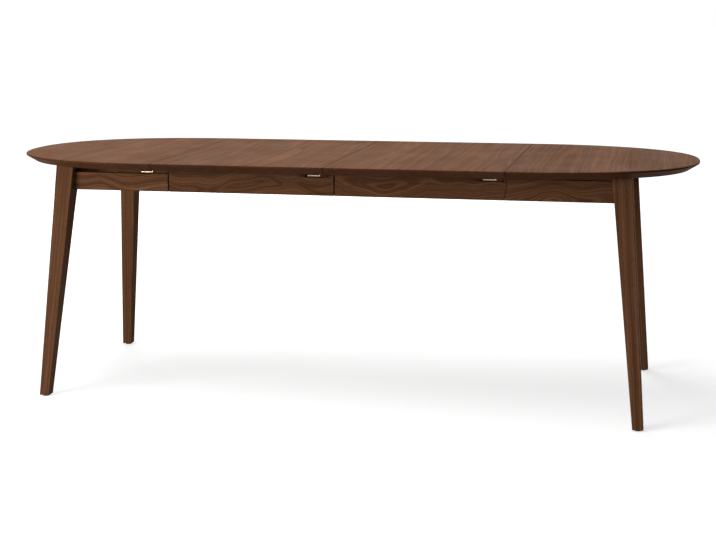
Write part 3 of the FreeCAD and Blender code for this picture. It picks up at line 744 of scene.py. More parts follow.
def carve(made: bpy.types.Object, cuts: list[Skin], grain: GrainFrame | None) -> None:
    """Cut pockets out of a piece.

    Args:
        made: The piece.
        cuts: Closed surfaces of what is cut away.
        grain: The piece's own directions, read again on the cut mesh.
    """
    tool = shown("cutter", make_mesh("cutter", cuts))
    cut = made.modifiers.new("pockets", "BOOLEAN")
    cut.operation = "DIFFERENCE"
    cut.solver = "EXACT"
    cut.use_self = True
    cut.object = tool
    bpy.context.view_layer.update()
    worked = made.evaluated_get(bpy.context.evaluated_depsgraph_get())
    mesh = bpy.data.meshes.new_from_object(worked)
    made.modifiers.remove(cut)
    made.data = mesh
    bpy.data.objects.remove(tool)
    mesh.materials.clear()
    shade(mesh)
    if grain is not None:
        write_grain(mesh, [(grain, len(mesh.vertices))])


# ---- shader sheets ----------------------------------------------------------
class Sheet:
    """A node tree, with short calls that add and join its nodes."""

    def __init__(self, tree: bpy.types.NodeTree) -> None:
        """Keep a material's or a group's tree, and empty it."""
        self.tree = tree
        self.tree.nodes.clear()

    def add(self, kind: str, inputs: dict | None = None, **settings: object) -> bpy.types.Node:
        """Add a node.

        Args:
            kind: Blender's name of the node, without its ShaderNode.
            inputs: Values or sockets for its inputs, by name or number.
            **settings: The node's own settings.

        Returns:
            The node.
        """
        node = self.tree.nodes.new(kind if kind.startswith("Node") else "ShaderNode" + kind)
        for name, value in settings.items():
            setattr(node, name, value)
        for name, value in (inputs or {}).items():
            if isinstance(value, bpy.types.NodeSocket):
                self.tree.links.new(value, node.inputs[name])
            else:
                node.inputs[name].default_value = value
        return node

    def math(self, operation: str, *operands: object) -> Socket:
        """Add a math node over numbers or sockets."""
        return self.add("Math", dict(enumerate(operands)), operation=operation).outputs[0]

    def plus(self, first: object, second: object) -> Socket:
        """Add two numbers or sockets."""
        return self.math("ADD", first, second)

    def minus(self, first: object, second: object) -> Socket:
        """Take the second number or socket from the first."""
        return self.math("SUBTRACT", first, second)

    def times(self, first: object, second: object) -> Socket:
        """Multiply two numbers or sockets."""
        return self.math("MULTIPLY", first, second)

    def per(self, first: object, second: object) -> Socket:
        """Divide the first number or socket by the second."""
        return self.math("DIVIDE", first, second)

    def line(self, value: object, slope: object, start: object) -> Socket:
        """Give value * slope + start."""
        return self.math("MULTIPLY_ADD", value, slope, start)

    def swing(self, value: Socket, reach: object) -> Socket:
        """Turn a share from 0 to 1 into a number from -reach / 2 to reach / 2."""
        return self.times(self.minus(value, 0.5), reach)

    def smooth(self, value: Socket, low: float, high: float, to_low: float = 0.0,
               to_high: float = 1.0) -> Socket:
        """Map a value with a soft start and end.

        Args:
            value: What is mapped.
            low: Where the rise starts.
            high: Where it ends.
            to_low: The result at its start.
            to_high: The result at its end.

        Returns:
            The mapped value.
        """
        inputs = {"Value": value, "From Min": low, "From Max": high,
                  "To Min": to_low, "To Max": to_high}
        return self.add("MapRange", inputs, interpolation_type="SMOOTHSTEP").outputs["Result"]

    def mix(self, share: object, first: object, second: object) -> Socket:
        """Mix two colours, with a share from 0 to 1 of the second."""
        return self.add("Mix", {0: share, 6: first, 7: second}, data_type="RGBA").outputs[2]

    def noise(self, place: Socket, scale: Triple, detail: float = 2.0,
              roughness: float = 0.5) -> Socket:
        """Add a noise texture over a stretched place.

        Args:
            place: A vector.
            scale: Factor on each of its axes.
            detail: How many finer layers it has.
            roughness: How strong they are.

        Returns:
            The noise, from 0 to 1.
        """
        stretched = self.add("VectorMath", {0: place, 1: scale}, operation="MULTIPLY").outputs[0]
        inputs = {"Vector": stretched, "Scale": 1.0, "Detail": detail, "Roughness": roughness}
        return self.add("TexNoise", inputs).outputs[0]

    def dice(self, number: Socket) -> bpy.types.Node:
        """Add a white noise that throws dice for a number."""
        return self.add("TexWhiteNoise", {"W": number}, noise_dimensions="1D")

    def attribute(self, name: str, output: str = "Fac") -> Socket:
        """Read an attribute of the piece."""
        return self.add("Attribute", attribute_name=name).outputs[output]

    def bump(self, height: Socket, depth: float, strength: float) -> Socket:
        """Tilt the normal by a height of the given depth."""
        inputs = {"Height": height, "Distance": depth, "Strength": strength}
        return self.add("Bump", inputs).outputs[0]


@dataclass(frozen=True)
class Effect:
    """A shared effect: a node group that takes a place and named numbers."""

    name: ClassVar[str] = ""
    takes: ClassVar[dict[str, float]] = {}

    def build(self, sheet: Sheet, given: dict[str, Socket]) -> dict[str, Socket]:
        """Build the nodes between the inputs and the results; each effect has its own."""
        raise NotImplementedError

    def tree(self) -> bpy.types.NodeTree:
        """Build the node group at its first use.

        Returns:
            The group.
        """
        made = bpy.data.node_groups.get(self.name)
        if made is None:
            made = bpy.data.node_groups.new(self.name, "ShaderNodeTree")
            sockets, sheet = made.interface, Sheet(made)
            sockets.new_socket("Place", in_out="INPUT", socket_type="NodeSocketVector")
            for name, value in self.takes.items():
                taken = sockets.new_socket(name, in_out="INPUT", socket_type="NodeSocketFloat")
                taken.default_value = value
            source = sheet.add("NodeGroupInput").outputs
            results = self.build(sheet, {name: source[name] for name in ("Place", *self.takes)})
            for name in results:
                sockets.new_socket(name, in_out="OUTPUT", socket_type="NodeSocketFloat")
            sheet.add("NodeGroupOutput", results)
        return made

    def on(self, sheet: Sheet, place: Socket,
           inputs: dict[str, float]) -> bpy.types.bpy_prop_collection:
        """Put the effect on a sheet, at a place and with its numbers, and give its outputs."""
        return sheet.add("Group", {"Place": place, **inputs}, node_tree=self.tree()).outputs


@dataclass(frozen=True)
class Timber(Effect):
    """The figure of sawn wood.

    Attributes:
        plank_step: How far apart two planks lie in the noise that their piths wander by.
        pith_side: How widely the piths are spread to the sides.
        pith_depth: Least depth of a pith under the face, and how much more it may be.
        waves: Scale of the waves in the rings.
        wave: Their width.
        late: Share of a year where the late wood starts, and where it is densest.
        faint: Strength of the faintest year, as a share.
        band_step: How far apart two planks lie in the bands.
        band_detail: How rough the bands are.
        streaks: Scale of the streaks.
        streak_detail: Their layers and how strong these are.
        pores: Scale of the pores.
        pore_limits: Noise at which a pore starts, and where it is full.
        filled: How much of the pores the late wood closes.
        mottles: Scale of the soft mottles.
        contrast: Noise at which bands and streaks start, and where they are full.
    """

    name = "timber"
    takes = {"Plank Width": 0.1, "Ring Spacing": 0.004, "Band Spacing": 0.02,
             "Wander": 0.03, "Drift": 1.6}

    plank_step: float = 7.3
    pith_side: float = 0.09
    pith_depth: tuple[float, float] = (0.016, 0.05)
    waves: Triple = (9.0, 70.0, 70.0)
    wave: float = 0.0045
    late: tuple[float, float] = (0.25, 0.9)
    faint: float = 0.35
    band_step: float = 5.7
    band_detail: float = 0.55
    streaks: Triple = (2.2, 95.0, 95.0)
    streak_detail: tuple[float, float] = (3.0, 0.6)
    pores: Triple = (55.0, 1300.0, 1300.0)
    pore_limits: tuple[float, float] = (0.56, 0.68)
    filled: float = 0.7
    mottles: Triple = (5.0, 9.0, 9.0)
    contrast: tuple[float, float] = (0.3, 0.7)

    def pith(self, sheet: Sheet, given: dict[str, Socket], plank: Socket,
             chance: list[Socket]) -> list[Socket]:
        """Place the pith of a plank: thrown once for each plank, and wandering along it.

        Args:
            sheet: The group's sheet.
            given: Its inputs.
            plank: The plank's number.
            chance: Throws for its side and its depth.

        Returns:
            How far it lies to the side and below.
        """
        along = sheet.add("SeparateXYZ", {0: given["Place"]}).outputs[0]
        walk = sheet.add("CombineXYZ", {0: sheet.times(along, given["Drift"]),
                                        1: sheet.times(plank, self.plank_step)}).outputs[0]
        drift = sheet.add("TexNoise", {"Vector": walk, "Scale": 1.0, "Detail": 2.0,
                                       "Roughness": 0.5})
        drifts = sheet.add("SeparateColor", {0: drift.outputs["Color"]}).outputs
        least, more = self.pith_depth
        starts = (sheet.swing(chance[0], self.pith_side), sheet.line(chance[1], more, least))
        return [sheet.plus(start, sheet.swing(way, given["Wander"]))
                for start, way in zip(starts, drifts)]

    def build(self, sheet: Sheet, given: dict[str, Socket]) -> dict[str, Socket]:
        """Build the rings, the bands, the streaks and the pores.

        The yearly rings are cylinders about a pith under the face, so a broad face
        shows arches and straight lines and an end shows arcs: years = distance from
        the pith / ring spacing.  The late wood is at the end of each year.

        Args:
            sheet: The group's sheet.
            given: Its inputs.

        Returns:
            The results by name.
        """
        place, width = given["Place"], given["Plank Width"]
        _, over, under = sheet.add("SeparateXYZ", {0: place}).outputs
        plank = sheet.math("FLOOR", sheet.per(over, width))
        chance = sheet.add("SeparateColor", {0: sheet.dice(plank).outputs["Color"]}).outputs
        side, depth = self.pith(sheet, given, plank, chance)
        across = sheet.plus(sheet.minus(over, sheet.times(sheet.plus(plank, 0.5), width)), side)
        down = sheet.plus(under, depth)
        reach = sheet.math("SQRT", sheet.plus(sheet.times(across, across), sheet.times(down, down)))
        reach = sheet.plus(reach, sheet.swing(sheet.noise(place, self.waves), self.wave))
        years = sheet.per(reach, given["Ring Spacing"])
        season = sheet.math("FRACT", years)
        start, dense = self.late
        late = sheet.times(sheet.smooth(season, start, dense),
                           sheet.smooth(season, dense, 1.0, to_low=1.0, to_high=0.0))
        strength = sheet.dice(sheet.plus(sheet.math("FLOOR", years), plank)).outputs["Value"]
        swell = sheet.line(plank, self.band_step, sheet.per(reach, given["Band Spacing"]))
        wave = {"W": swell, "Scale": 1.0, "Detail": 2.0, "Roughness": self.band_detail}
        bands = sheet.add("TexNoise", wave, noise_dimensions="1D").outputs[0]
        streaks = sheet.noise(place, self.streaks, *self.streak_detail)
        pores = sheet.smooth(sheet.noise(place, self.pores, detail=1.0), *self.pore_limits)
        return {
            "Rings": sheet.times(late, sheet.line(strength, 1.0 - self.faint, self.faint)),
            "Bands": sheet.smooth(bands, *self.contrast),
            "Streaks": sheet.smooth(streaks, *self.contrast),
            "Pores": sheet.times(pores, sheet.minus(1.0, sheet.times(late, self.filled))),
            "Tone": chance[2],
            "Mottle": sheet.noise(place, self.mottles)}


@dataclass(frozen=True)
class RubbedEdge(Effect):
    """Where the finish is rubbed thin on rounded edges, broken by noise.

    Attributes:
        patches: Scale of the noise.
        limits: Noise at which a patch starts, and where it is full.
    """

    name = "rubbed_edge"
    takes = {"Amount": 0.5}

    patches: Triple = (25.0, 25.0, 25.0)
    limits: tuple[float, float] = (0.35, 0.7)

    def build(self, sheet: Sheet, given: dict[str, Socket]) -> dict[str, Socket]:
        """Multiply the rounded edges, the patches and the amount."""
        patches = sheet.smooth(sheet.noise(given["Place"], self.patches, 3.0), *self.limits)
        return {"Mask": sheet.times(sheet.times(sheet.attribute(EASED), patches), given["Amount"])}


@dataclass(frozen=True)
class Handling(Effect):
    """The uneven sheen of a surface that hands have wiped: broad soft smears over a fine haze.

    Attributes:
        smears: Scale of the smears.
        haze: Scale of the haze.
        hazy: Share of the haze.
        limits: Noise at which the roughness starts to rise, and where it is full.
    """

    name = "handling"
    takes = {"Low": 0.4, "High": 0.6}

    smears: Triple = (6.0, 6.0, 6.0)
    haze: Triple = (120.0, 120.0, 120.0)
    hazy: float = 0.35
    limits: tuple[float, float] = (0.3, 0.7)

    def build(self, sheet: Sheet, given: dict[str, Socket]) -> dict[str, Socket]:
        """Mix the smears and the haze, and spread them from Low to High.

        Args:
            sheet: The group's sheet.
            given: Its inputs.

        Returns:
            The roughness.
        """
        smears = sheet.noise(given["Place"], self.smears, detail=3.0)
        broad = sheet.times(smears, 1.0 - self.hazy)
        both = sheet.line(sheet.noise(given["Place"], self.haze), self.hazy, broad)
        span = sheet.minus(given["High"], given["Low"])
        return {"Roughness": sheet.line(sheet.smooth(both, *self.limits), span, given["Low"])}


@dataclass(frozen=True)
class Machined(Effect):
    """The fine parallel lines of brushed or machined metal, with a few darker specks.

    Attributes:
        lines: Scale of the lines.
        specks: Scale of the specks.
        limits: Noise at which a speck starts, and where it is full.
    """

    name = "machined"
    takes = {"Low": 0.25, "High": 0.45}

    lines: Triple = (60.0, 2600.0, 2600.0)
    specks: Triple = (420.0, 420.0, 420.0)
    limits: tuple[float, float] = (0.6, 0.72)

    def build(self, sheet: Sheet, given: dict[str, Socket]) -> dict[str, Socket]:
        """Spread the lines from Low to High, and cut the specks out of a noise.

        Args:
            sheet: The group's sheet.
            given: Its inputs.

        Returns:
            The results by name.
        """
        lines = sheet.noise(given["Place"], self.lines)
        noise = sheet.noise(given["Place"], self.specks, detail=3.0)
        specks = sheet.smooth(noise, *self.limits)
        span = sheet.minus(given["High"], given["Low"])
        rough = sheet.line(lines, span, given["Low"])
        return {"Lines": lines, "Specks": specks, "Roughness": rough}


# ---- finishes ---------------------------------------------------------------
@dataclass(frozen=True)
class Finish:
    """What every finish has: its name and the record's material slot, which is not used."""

    name: str
    slot: str

    def material(self) -> bpy.types.Material:
        """Build the finish's material at its first use.

        Returns:
            The material.
        """
        made = bpy.data.materials.get(self.name)
        if made is None:
            made = bpy.data.materials.new(self.name)
            made.use_nodes = True
            sheet = Sheet(made.node_tree)
            surface = sheet.add("BsdfPrincipled", self.shader(sheet)).outputs[0]
            sheet.add("OutputMaterial", {"Surface": surface})
        return made

    def shader(self, sheet: Sheet) -> dict[str, object]:
        """Give the shader's inputs; each kind of finish has its own."""
        raise NotImplementedError


@dataclass(frozen=True)
class WoodFinish(Finish):
    """Stained or waxed wood.

    Attributes:
        pale: The ground colour between the rings.
        deep: The colour of the dense late wood.
        pore: The colour in the open pores.
        rubbed: The colour where the stain is rubbed thin.
        ends: The colour of the end grain, which drinks more oil; it is deep enough to also paint
            the shade on the top's rim and undercut bevel.
        plank: Width of the planks that a panel is glued up from.
        ring: Spacing of the yearly rings.
        band: Spacing of the broad bands of many years.
        wander: How far the pith wanders, which gives the arches.
        drift: How often it wanders, in turns to a metre.
        figure: Strength of the rings in the colour.
        banding: Strength of the broad bands in the colour.
        streaking: Strength of the streaks in the colour.
        porous: Strength of the pores in the colour.
        spread: How much the planks differ in tone.
        mottled: How much the tone changes within a plank.
        soak_and_shade: How much of the end grain's colour the ends have: partly the oil they drink,
            partly painted shade on the top's rim and undercut bevel.
        end_turn: How far a surface looks along the grain where that starts, and where it is full.
        worn: How much of the stain is rubbed off the edges.
        seam_shade: How dark the painted shade on the edges along the seams is.
        sheen: Roughness where it is smoothest and where it is dullest.
        specular: Strength of the surface reflection.
        relief: Depth of the open grain.
        ridge: Height of the rings over that depth.
        bumps: Strength of the relief.
    """

    pale: Colour = linear(130, 90, 62)
    deep: Colour = linear(80, 49, 31)
    pore: Colour = linear(44, 26, 16)
    rubbed: Colour = linear(140, 100, 72)
    ends: Colour = linear(66, 34, 14)
    plank: float = 0.5
    ring: float = 0.0065
    band: float = 0.011
    wander: float = 0.05
    drift: float = 1.6
    figure: float = 0.6
    banding: float = 0.55
    streaking: float = 0.35
    porous: float = 0.45
    spread: float = 0.16
    mottled: float = 0.16
    soak_and_shade: float = 0.8
    end_turn: tuple[float, float] = (0.15, 0.6)
    worn: float = 0.08
    seam_shade: float = 0.8
    sheen: tuple[float, float] = (0.5, 0.66)
    specular: float = 0.02
    relief: float = 0.00012
    ridge: float = 0.25
    # painted shade: how dark the seam edges are painted, standing in for the shade in the seams
    bumps: float = 0.6

    def grain(self, along: Triple, across: Triple, through: Triple, origin: Triple,
              lane: int) -> GrainFrame:
        """Lay out a board of the log, with its middle on the middle of its own plank."""
        return GrainFrame(along, across, through, origin, (lane + 0.5) * self.plank)

    def shader(self, sheet: Sheet) -> dict[str, object]:
        """Mix each layer over the ones before, then give the whole its plank's tone.

        Args:
            sheet: The material's sheet.

        Returns:
            The shader's inputs.
        """
        place = sheet.attribute(GRAIN, "Vector")
        timber = Timber().on(sheet, place, {"Plank Width": self.plank, "Ring Spacing": self.ring,
                                            "Band Spacing": self.band, "Wander": self.wander,
                                            "Drift": self.drift})
        ends = sheet.smooth(sheet.attribute(END_GRAIN), *self.end_turn)
        edge = RubbedEdge().on(sheet, place, {"Amount": self.worn})[0]
        rough = Handling().on(sheet, place, {"Low": self.sheen[0], "High": self.sheen[1]})[0]
        layers = (
            (timber["Rings"], self.figure, self.deep),
            (timber["Bands"], self.banding, self.deep),
            (timber["Streaks"], self.streaking, self.deep),
            (timber["Pores"], self.porous, self.pore),
            # darker end grain: partly the oil it drinks, partly painted shade on the top's rim and
            # undercut bevel
            (ends, self.soak_and_shade, self.ends),
            (edge, 1.0, self.rubbed),
            # painted shade: the seam edges, marked -1, are darkened towards the pore colour
            (sheet.attribute(EASED), -self.seam_shade, self.pore),
        )
        colour = self.pale
        for mask, strength, tint in layers:
            colour = sheet.mix(sheet.times(mask, strength), colour, tint)
        tone = sheet.times(*(sheet.line(timber[name], span, 1.0 - span / 2)
                             for name, span in (("Tone", self.spread), ("Mottle", self.mottled))))
        height = sheet.line(timber["Pores"], -1.0, sheet.times(timber["Rings"], self.ridge))
        toned = sheet.add("HueSaturation", {"Color": colour, "Value": tone}).outputs[0]
        return {"Base Color": toned, "Roughness": rough, "Specular IOR Level": self.specular,
                "Normal": sheet.bump(height, self.relief, self.bumps)}


@dataclass(frozen=True)
class MetalFinish(Finish):
    """Brushed, machined or plated metal.

    Attributes:
        bright: The colour of the clean metal.
        dull: The colour in its lines and specks.
        polish: Roughness where it is smoothest and where it is dullest.
        contrast: Line height at which the dull colour starts, and where it is full.
        speckled: Strength of the specks in the colour.
        relief: Depth of the lines.
        bumps: Strength of the relief.
    """

    bright: Colour = linear(214, 214, 212)
    dull: Colour = linear(128, 126, 122)
    polish: tuple[float, float] = (0.24, 0.42)
    contrast: tuple[float, float] = (0.3, 0.75)
    speckled: float = 0.5
    relief: float = 0.00002
    bumps: float = 0.5

    def shader(self, sheet: Sheet) -> dict[str, object]:
        """Set fine lines and specks in the metal's colour, sheen and surface.

        Args:
            sheet: The material's sheet.

        Returns:
            The shader's inputs.
        """
        place = sheet.add("TexCoord").outputs["Object"]
        metal = Machined().on(sheet, place, {"Low": self.polish[0], "High": self.polish[1]})
        colour = sheet.mix(sheet.smooth(metal["Lines"], *self.contrast), self.bright, self.dull)
        colour = sheet.mix(sheet.times(metal["Specks"], self.speckled), colour, self.dull)
        return {"Base Color": colour, "Metallic": 1.0, "Roughness": metal["Roughness"],
                "Normal": sheet.bump(metal["Lines"], self.relief, self.bumps)}


@dataclass(frozen=True)
class NylonFinish(Finish):
    """Moulded nylon with a fine matt skin.

    Attributes:
        body: Its colour.
        scuffed: Its colour where it has rubbed.
        scuffs: Scale of the scuffs.
        limits: Noise at which a scuff starts, and where it is full.
        strength: Strength of the scuffs in the colour.
        pebbles: Scale of the fine grain.
        matt: Roughness where it is smoothest and where it is dullest.
        relief: Depth of the grain.
        bumps: Strength of the relief.
    """

    body: Colour = linear(60, 47, 40)
    scuffed: Colour = linear(104, 92, 82)
    scuffs: Triple = (130.0, 130.0, 260.0)
    limits: tuple[float, float] = (0.52, 0.72)
    strength: float = 0.6
    pebbles: Triple = (2400.0, 2400.0, 2400.0)
    matt: tuple[float, float] = (0.5, 0.7)
    relief: float = 0.00003
    bumps: float = 0.5

    def shader(self, sheet: Sheet) -> dict[str, object]:
        """Give the nylon a fine grain with paler scuffs.

        Args:
            sheet: The material's sheet.

        Returns:
            The shader's inputs.
        """
        place = sheet.add("TexCoord").outputs["Object"]
        scuffs = sheet.smooth(sheet.noise(place, self.scuffs, detail=4.0), *self.limits)
        colour = sheet.mix(sheet.times(scuffs, self.strength), self.body, self.scuffed)
        rough = Handling().on(sheet, place, {"Low": self.matt[0], "High": self.matt[1]})[0]
        pebbles = sheet.noise(place, self.pebbles, detail=1.0)
        return {"Base Color": colour, "Roughness": rough,
                "Normal": sheet.bump(pebbles, self.relief, self.bumps)}


TOP_WOOD = WoodFinish("oiled_top_wood", "top_wood", pale=linear(133, 91, 63), plank=0.106,
                      figure=0.35, banding=0.45)
APRON_WOOD = WoodFinish("oiled_apron_wood", "apron_wood", wander=0.14, drift=3.2, figure=0.8,
                        banding=0.75)
LEG_WOOD = WoodFinish("oiled_leg_wood", "leg_wood", wander=0.02)
BATTEN_WOOD = WoodFinish("sawn_batten_wood", "batten_wood", pale=linear(104, 72, 50),
                         deep=linear(64, 42, 28))
RUNNER_WOOD = WoodFinish("waxed_runner_wood", "runner_wood", pale=linear(182, 134, 92),
                         deep=linear(140, 98, 64), pore=linear(96, 64, 40),
                         rubbed=linear(196, 152, 110), ends=linear(120, 82, 50), ring=0.003,
                         band=0.007)
GEAR_STEEL = MetalFinish("milled_gear_steel", "gear_steel", linear(176, 178, 180),
                         linear(96, 96, 98))
HINGE_BRASS = MetalFinish("drawn_hinge_brass", "hinge_brass", linear(214, 178, 104),
                          linear(140, 108, 58))
ZINC_STEEL = MetalFinish("plated_zinc_steel", "zinc_steel", linear(222, 206, 182),
                         linear(150, 134, 112))
NYLON = NylonFinish("moulded_glide_nylon", "glide_nylon")


# ---- tops -------------------------------------------------------------------
@dataclass
class Tops:
    """The four panels of the top: two leaf halves and two rounded ends.

    Attributes:
        shop: Where pieces are made.
        arris: Radius of the upper edge.
        rim_radius: Radius where the rim meets the undercut bevel.
        toe_radius: Radius where the bevel meets the underside.
        bevel_height: Height of the bevel.
        bevel_depth: How far the bevel runs in.
        hold: How far beside a rounded edge its flat side starts.
        seam_ease: Radius along the seams.
        seam_reach: How far past that radius the painted seam shade is marked.
        fullness: Power of the oval ends: 2 is an ellipse, more is fuller.
        oval_shift: From the middle of the end's oval to its seam face.
        around: Steps round half an oval.
        least_share: How much of the seam's easing the sides and the underside take.
        planks: How many planks a panel is glued up from.
        plank_start: How far the first plank starts before the panel.
        plank_slack: How much longer the planks together are than the panel.
        hinge_play: Room round a hinge cup in its pocket.
        pocket_start: How far a pocket's cutter starts beyond the seam.
        pocket_corner: Radius of a pocket's corners.
        pocket_edge: Radius at the two ends of its cutter.
    """

    shop: Workshop
    arris: float = 0.003
    rim_radius: float = 0.0008
    toe_radius: float = 0.0012
    bevel_height: float = 0.0185
    bevel_depth: float = 0.029
    hold: float = 0.0005
    seam_ease: float = 0.0008
    seam_reach: float = 0.0001
    fullness: float = 2.25
    oval_shift: float = 0.0005
    around: int = 180
    least_share: float = 0.35
    planks: int = 5
    plank_start: float = 0.0004
    plank_slack: float = 0.001
    hinge_play: float = 0.0001
    pocket_start: float = 0.01
    pocket_corner: float = 0.0003
    pocket_edge: float = 0.00005

    def section(self, low: np.ndarray, high: np.ndarray) -> Outline:
        """The cross-section of the panels across the table.

        Args:
            low: The panel's lowest corner.
            high: Its highest corner.

        Returns:
            A board with a rounded upper edge over an undercut bevel, both sides alike.
        """
        wide, toe = high[1], high[1] - self.bevel_depth
        bottom, top = low[2], high[2]
        shoulder = bottom + self.bevel_height
        corners = [(-toe, bottom), (toe, bottom), (wide, shoulder),
                   (wide, top), (-wide, top), (-wide, shoulder)]
        radii = [self.toe_radius, self.toe_radius, self.rim_radius,
                 self.arris, self.arris, self.rim_radius]
        return Outline.rounded(corners, radii, arc_steps=6, side_steps=14, hold=self.hold)

    def seam_share(self, outline: Outline) -> np.ndarray:
        """How much of the seam's easing each point takes: all on top, least elsewhere."""
        return self.least_share + (1 - self.least_share) * np.clip(outline.normals[:, 1], 0, 1)

    def grain(self, low: np.ndarray, high: np.ndarray, lane: int) -> GrainFrame:
        """A panel's own directions: the grain runs across the table, in a whole number of planks.

        Args:
            low: The panel's lowest corner.
            high: Its highest corner.
            lane: The panel's number.

        Returns:
            The grain frame.
        """
        origin = (low[0] - self.plank_start, 0.0, high[2])
        stretch = self.planks * TOP_WOOD.plank / (high[0] - low[0] + self.plank_slack)
        shift = lane * (self.planks + 1) * TOP_WOOD.plank
        return GrainFrame((0, 1, 0), (1, 0, 0), (0, 0, -1), origin, shift, stretch)

    def leaf(self, node: str, lane: int) -> Skin:
        """A leaf half: the section carried from seam to seam.

        Args:
            node: Its node.
            lane: Its number in the log.

        Returns:
            The closed skin.
        """
        low, high = self.shop.table.box(node)
        outline = self.section(low, high)
        share = self.seam_share(outline)
        skin = carried(outline, Axis.X, low[0], high[0], self.seam_ease, share=share, spans=10)
        skin.grain = self.grain(low, high, lane)
        return self.mark_seam_shade(skin, low[0], high[0])

    def mark_seam_shade(self, skin: Skin, *seams: float) -> Skin:
        """Mark a panel's eased edges along its seams with -1, where painted shade darkens them.

        Args:
            skin: The panel.
            seams: Where its seam faces lie along X.

        Returns:
            The same panel.
        """
        for seam in seams:
            near = np.abs(skin.points[:, 0] - seam) < self.seam_ease + self.seam_reach
            skin.eased = np.where(near, -1.0, skin.eased)
        return skin

    def oval(self, node: str, side: int, lane: int) -> Skin:
        """A rounded end: the right half of the section spread over half an oval.

        A point of the section at a distance y from the middle line becomes half an
        oval with half lengths (long - wide + y) along X and y across.  A point of it
        lies at (long - wide + y) * C and y * S, where C and S are the cosine and the
        sine of the turn with their sizes raised to 2 / fullness.  The two ends of each
        half oval lie on the seam, where further columns round the edge over.

        Args:
            node: Its node.
            side: -1 for the left end and 1 for the right end.
            lane: Its number in the log.

        Returns:
            The closed skin.
        """
        low, high = self.shop.table.box(node)
        seam, tip = (low[0], high[0]) if side > 0 else (-high[0], -low[0])
        outline = self.section(low, high)
        half = len(outline.points) // 2
        across, level = outline.points[:half, :1], outline.points[:half, 1:]
        turn = np.linspace(-math.pi / 2, math.pi / 2, self.around + 1)[1:-1]
        centre, power = seam - self.oval_shift, 2 / self.fullness
        oval_x = centre + (tip - centre - high[1] + across) * np.cos(turn) ** power
        oval_y = across * np.sign(turn) * np.abs(np.sin(turn)) ** power
        along, drawn, rounded = end_steps(self.seam_ease)
        inset = drawn * self.seam_share(outline)[:half, None]
        edge_y = across - outline.normals[:half, :1] * inset
        edge_z = level - outline.normals[:half, 1:] * inset
        edge_x = np.broadcast_to(seam + along, edge_y.shape)
        parts = ((edge_x, oval_x, edge_x), (-edge_y, oval_y, edge_y),
                 (edge_z, np.broadcast_to(level, oval_x.shape), edge_z))
        grid = np.stack([np.concatenate([start, oval, end[:, ::-1]], axis=1)
                         for start, oval, end in parts], axis=-1)
        worn = np.concatenate([rounded, np.zeros(len(turn)), rounded[::-1]])
        eased = np.maximum(outline.eased[:half, None], worn)
        columns = grid.shape[1]
        inner, outer = strip_quads(columns, 0), strip_quads(columns, (half - 1) * columns)
        quads = np.concatenate([ring_quads(half, columns), inner[:, ::-1], outer])
        skin = Skin(grid.reshape(-1, 3), quads, [], eased.reshape(-1)).outward()
        skin = self.mark_seam_shade(skin, seam).flipped(side, 1)
        skin.grain = self.grain(low, high, lane)
        return skin

    def pockets(self, hinges: str, side: int) -> list[Skin]:
        """The pockets for the hinge cups in a leaf half's middle seam.

        Args:
            hinges: The node of its hinge cups.
            side: -1 for the left half and 1 for the right half.

        Returns:
            A block for each cup.
        """
        play = self.hinge_play
        pockets = []
        for cup in self.shop.table.solids(hinges):
            mine = cup[cup[:, 0] * side > self.oval_shift / 2]
            lowest, highest = mine.min(axis=0) - play, mine.max(axis=0) + play
            ends = sorted((-side * self.pocket_start, side * (np.abs(mine[:, 0]).max() + play)))
            corners = rectangle(lowest[1:], highest[1:])
            hole = Outline.rounded(corners, self.pocket_corner, arc_steps=2, side_steps=0,
                                   hold=self.pocket_edge)
            pockets.append(carried(hole, Axis.X, *ends, self.pocket_edge))
        return pockets

    def build(self) -> None:
        """Make the four panels."""
        for lane, (name, side) in enumerate(SIDES):
            node = f"{name}_top"
            self.shop.piece(f"{node}_panel", [self.oval(node, side, lane)], node, TOP_WOOD)
        halves = (("leaf_1_top", HINGES[0], -1), ("leaf_2_top", HINGES[1], 1))
        for lane, (node, hinges, side) in enumerate(halves, len(SIDES)):
            pockets = self.pockets(hinges, side)
            self.shop.piece(f"{node}_panel", [self.leaf(node, lane)], node, TOP_WOOD, pockets)


# ---- legs -------------------------------------------------------------------
@dataclass(frozen=True)
class LegForm:
    """The splayed, tapered leg of the right back corner.

    Attributes:
        top: Centre of the leg at its top.
        foot: Centre of the leg on the floor.
        top_half: Half its width at the top.
        foot_half: Half its width on the floor.
        full_height: Height of the top's underside.
        edge: Radius of its long edges.
        housed: How far an apron runs into a leg.
    """

    top: tuple[float, float] = (0.852, 0.2615)
    foot: tuple[float, float] = (0.921, 0.351)
    top_half: float = 0.0285
    foot_half: float = 0.016
    full_height: float = 0.726
    edge: float = 0.0025
    housed: float = 0.003

    def centre(self, z: np.ndarray | float) -> np.ndarray:
        """Centre of the leg at a height, on the straight line from foot to top."""
        share = np.asarray(z)[..., None] / self.full_height
        return np.array(self.foot) + (np.array(self.top) - np.array(self.foot)) * share

    def half(self, z: np.ndarray | float) -> np.ndarray:
        """Half width of the leg at a height."""
        return self.foot_half + (self.top_half - self.foot_half) * np.asarray(z) / self.full_height

    def inner(self, z: np.ndarray | float) -> np.ndarray:
        """X and Y of the leg's two inner faces at a height."""
        return self.centre(z) - self.half(z)[..., None]

    def housing(self, z: np.ndarray, axis: Axis) -> np.ndarray:
        """Where an apron along an axis ends inside the leg at a height."""
        return self.inner(z)[:, axis.value] + self.housed


LEG = LegForm()


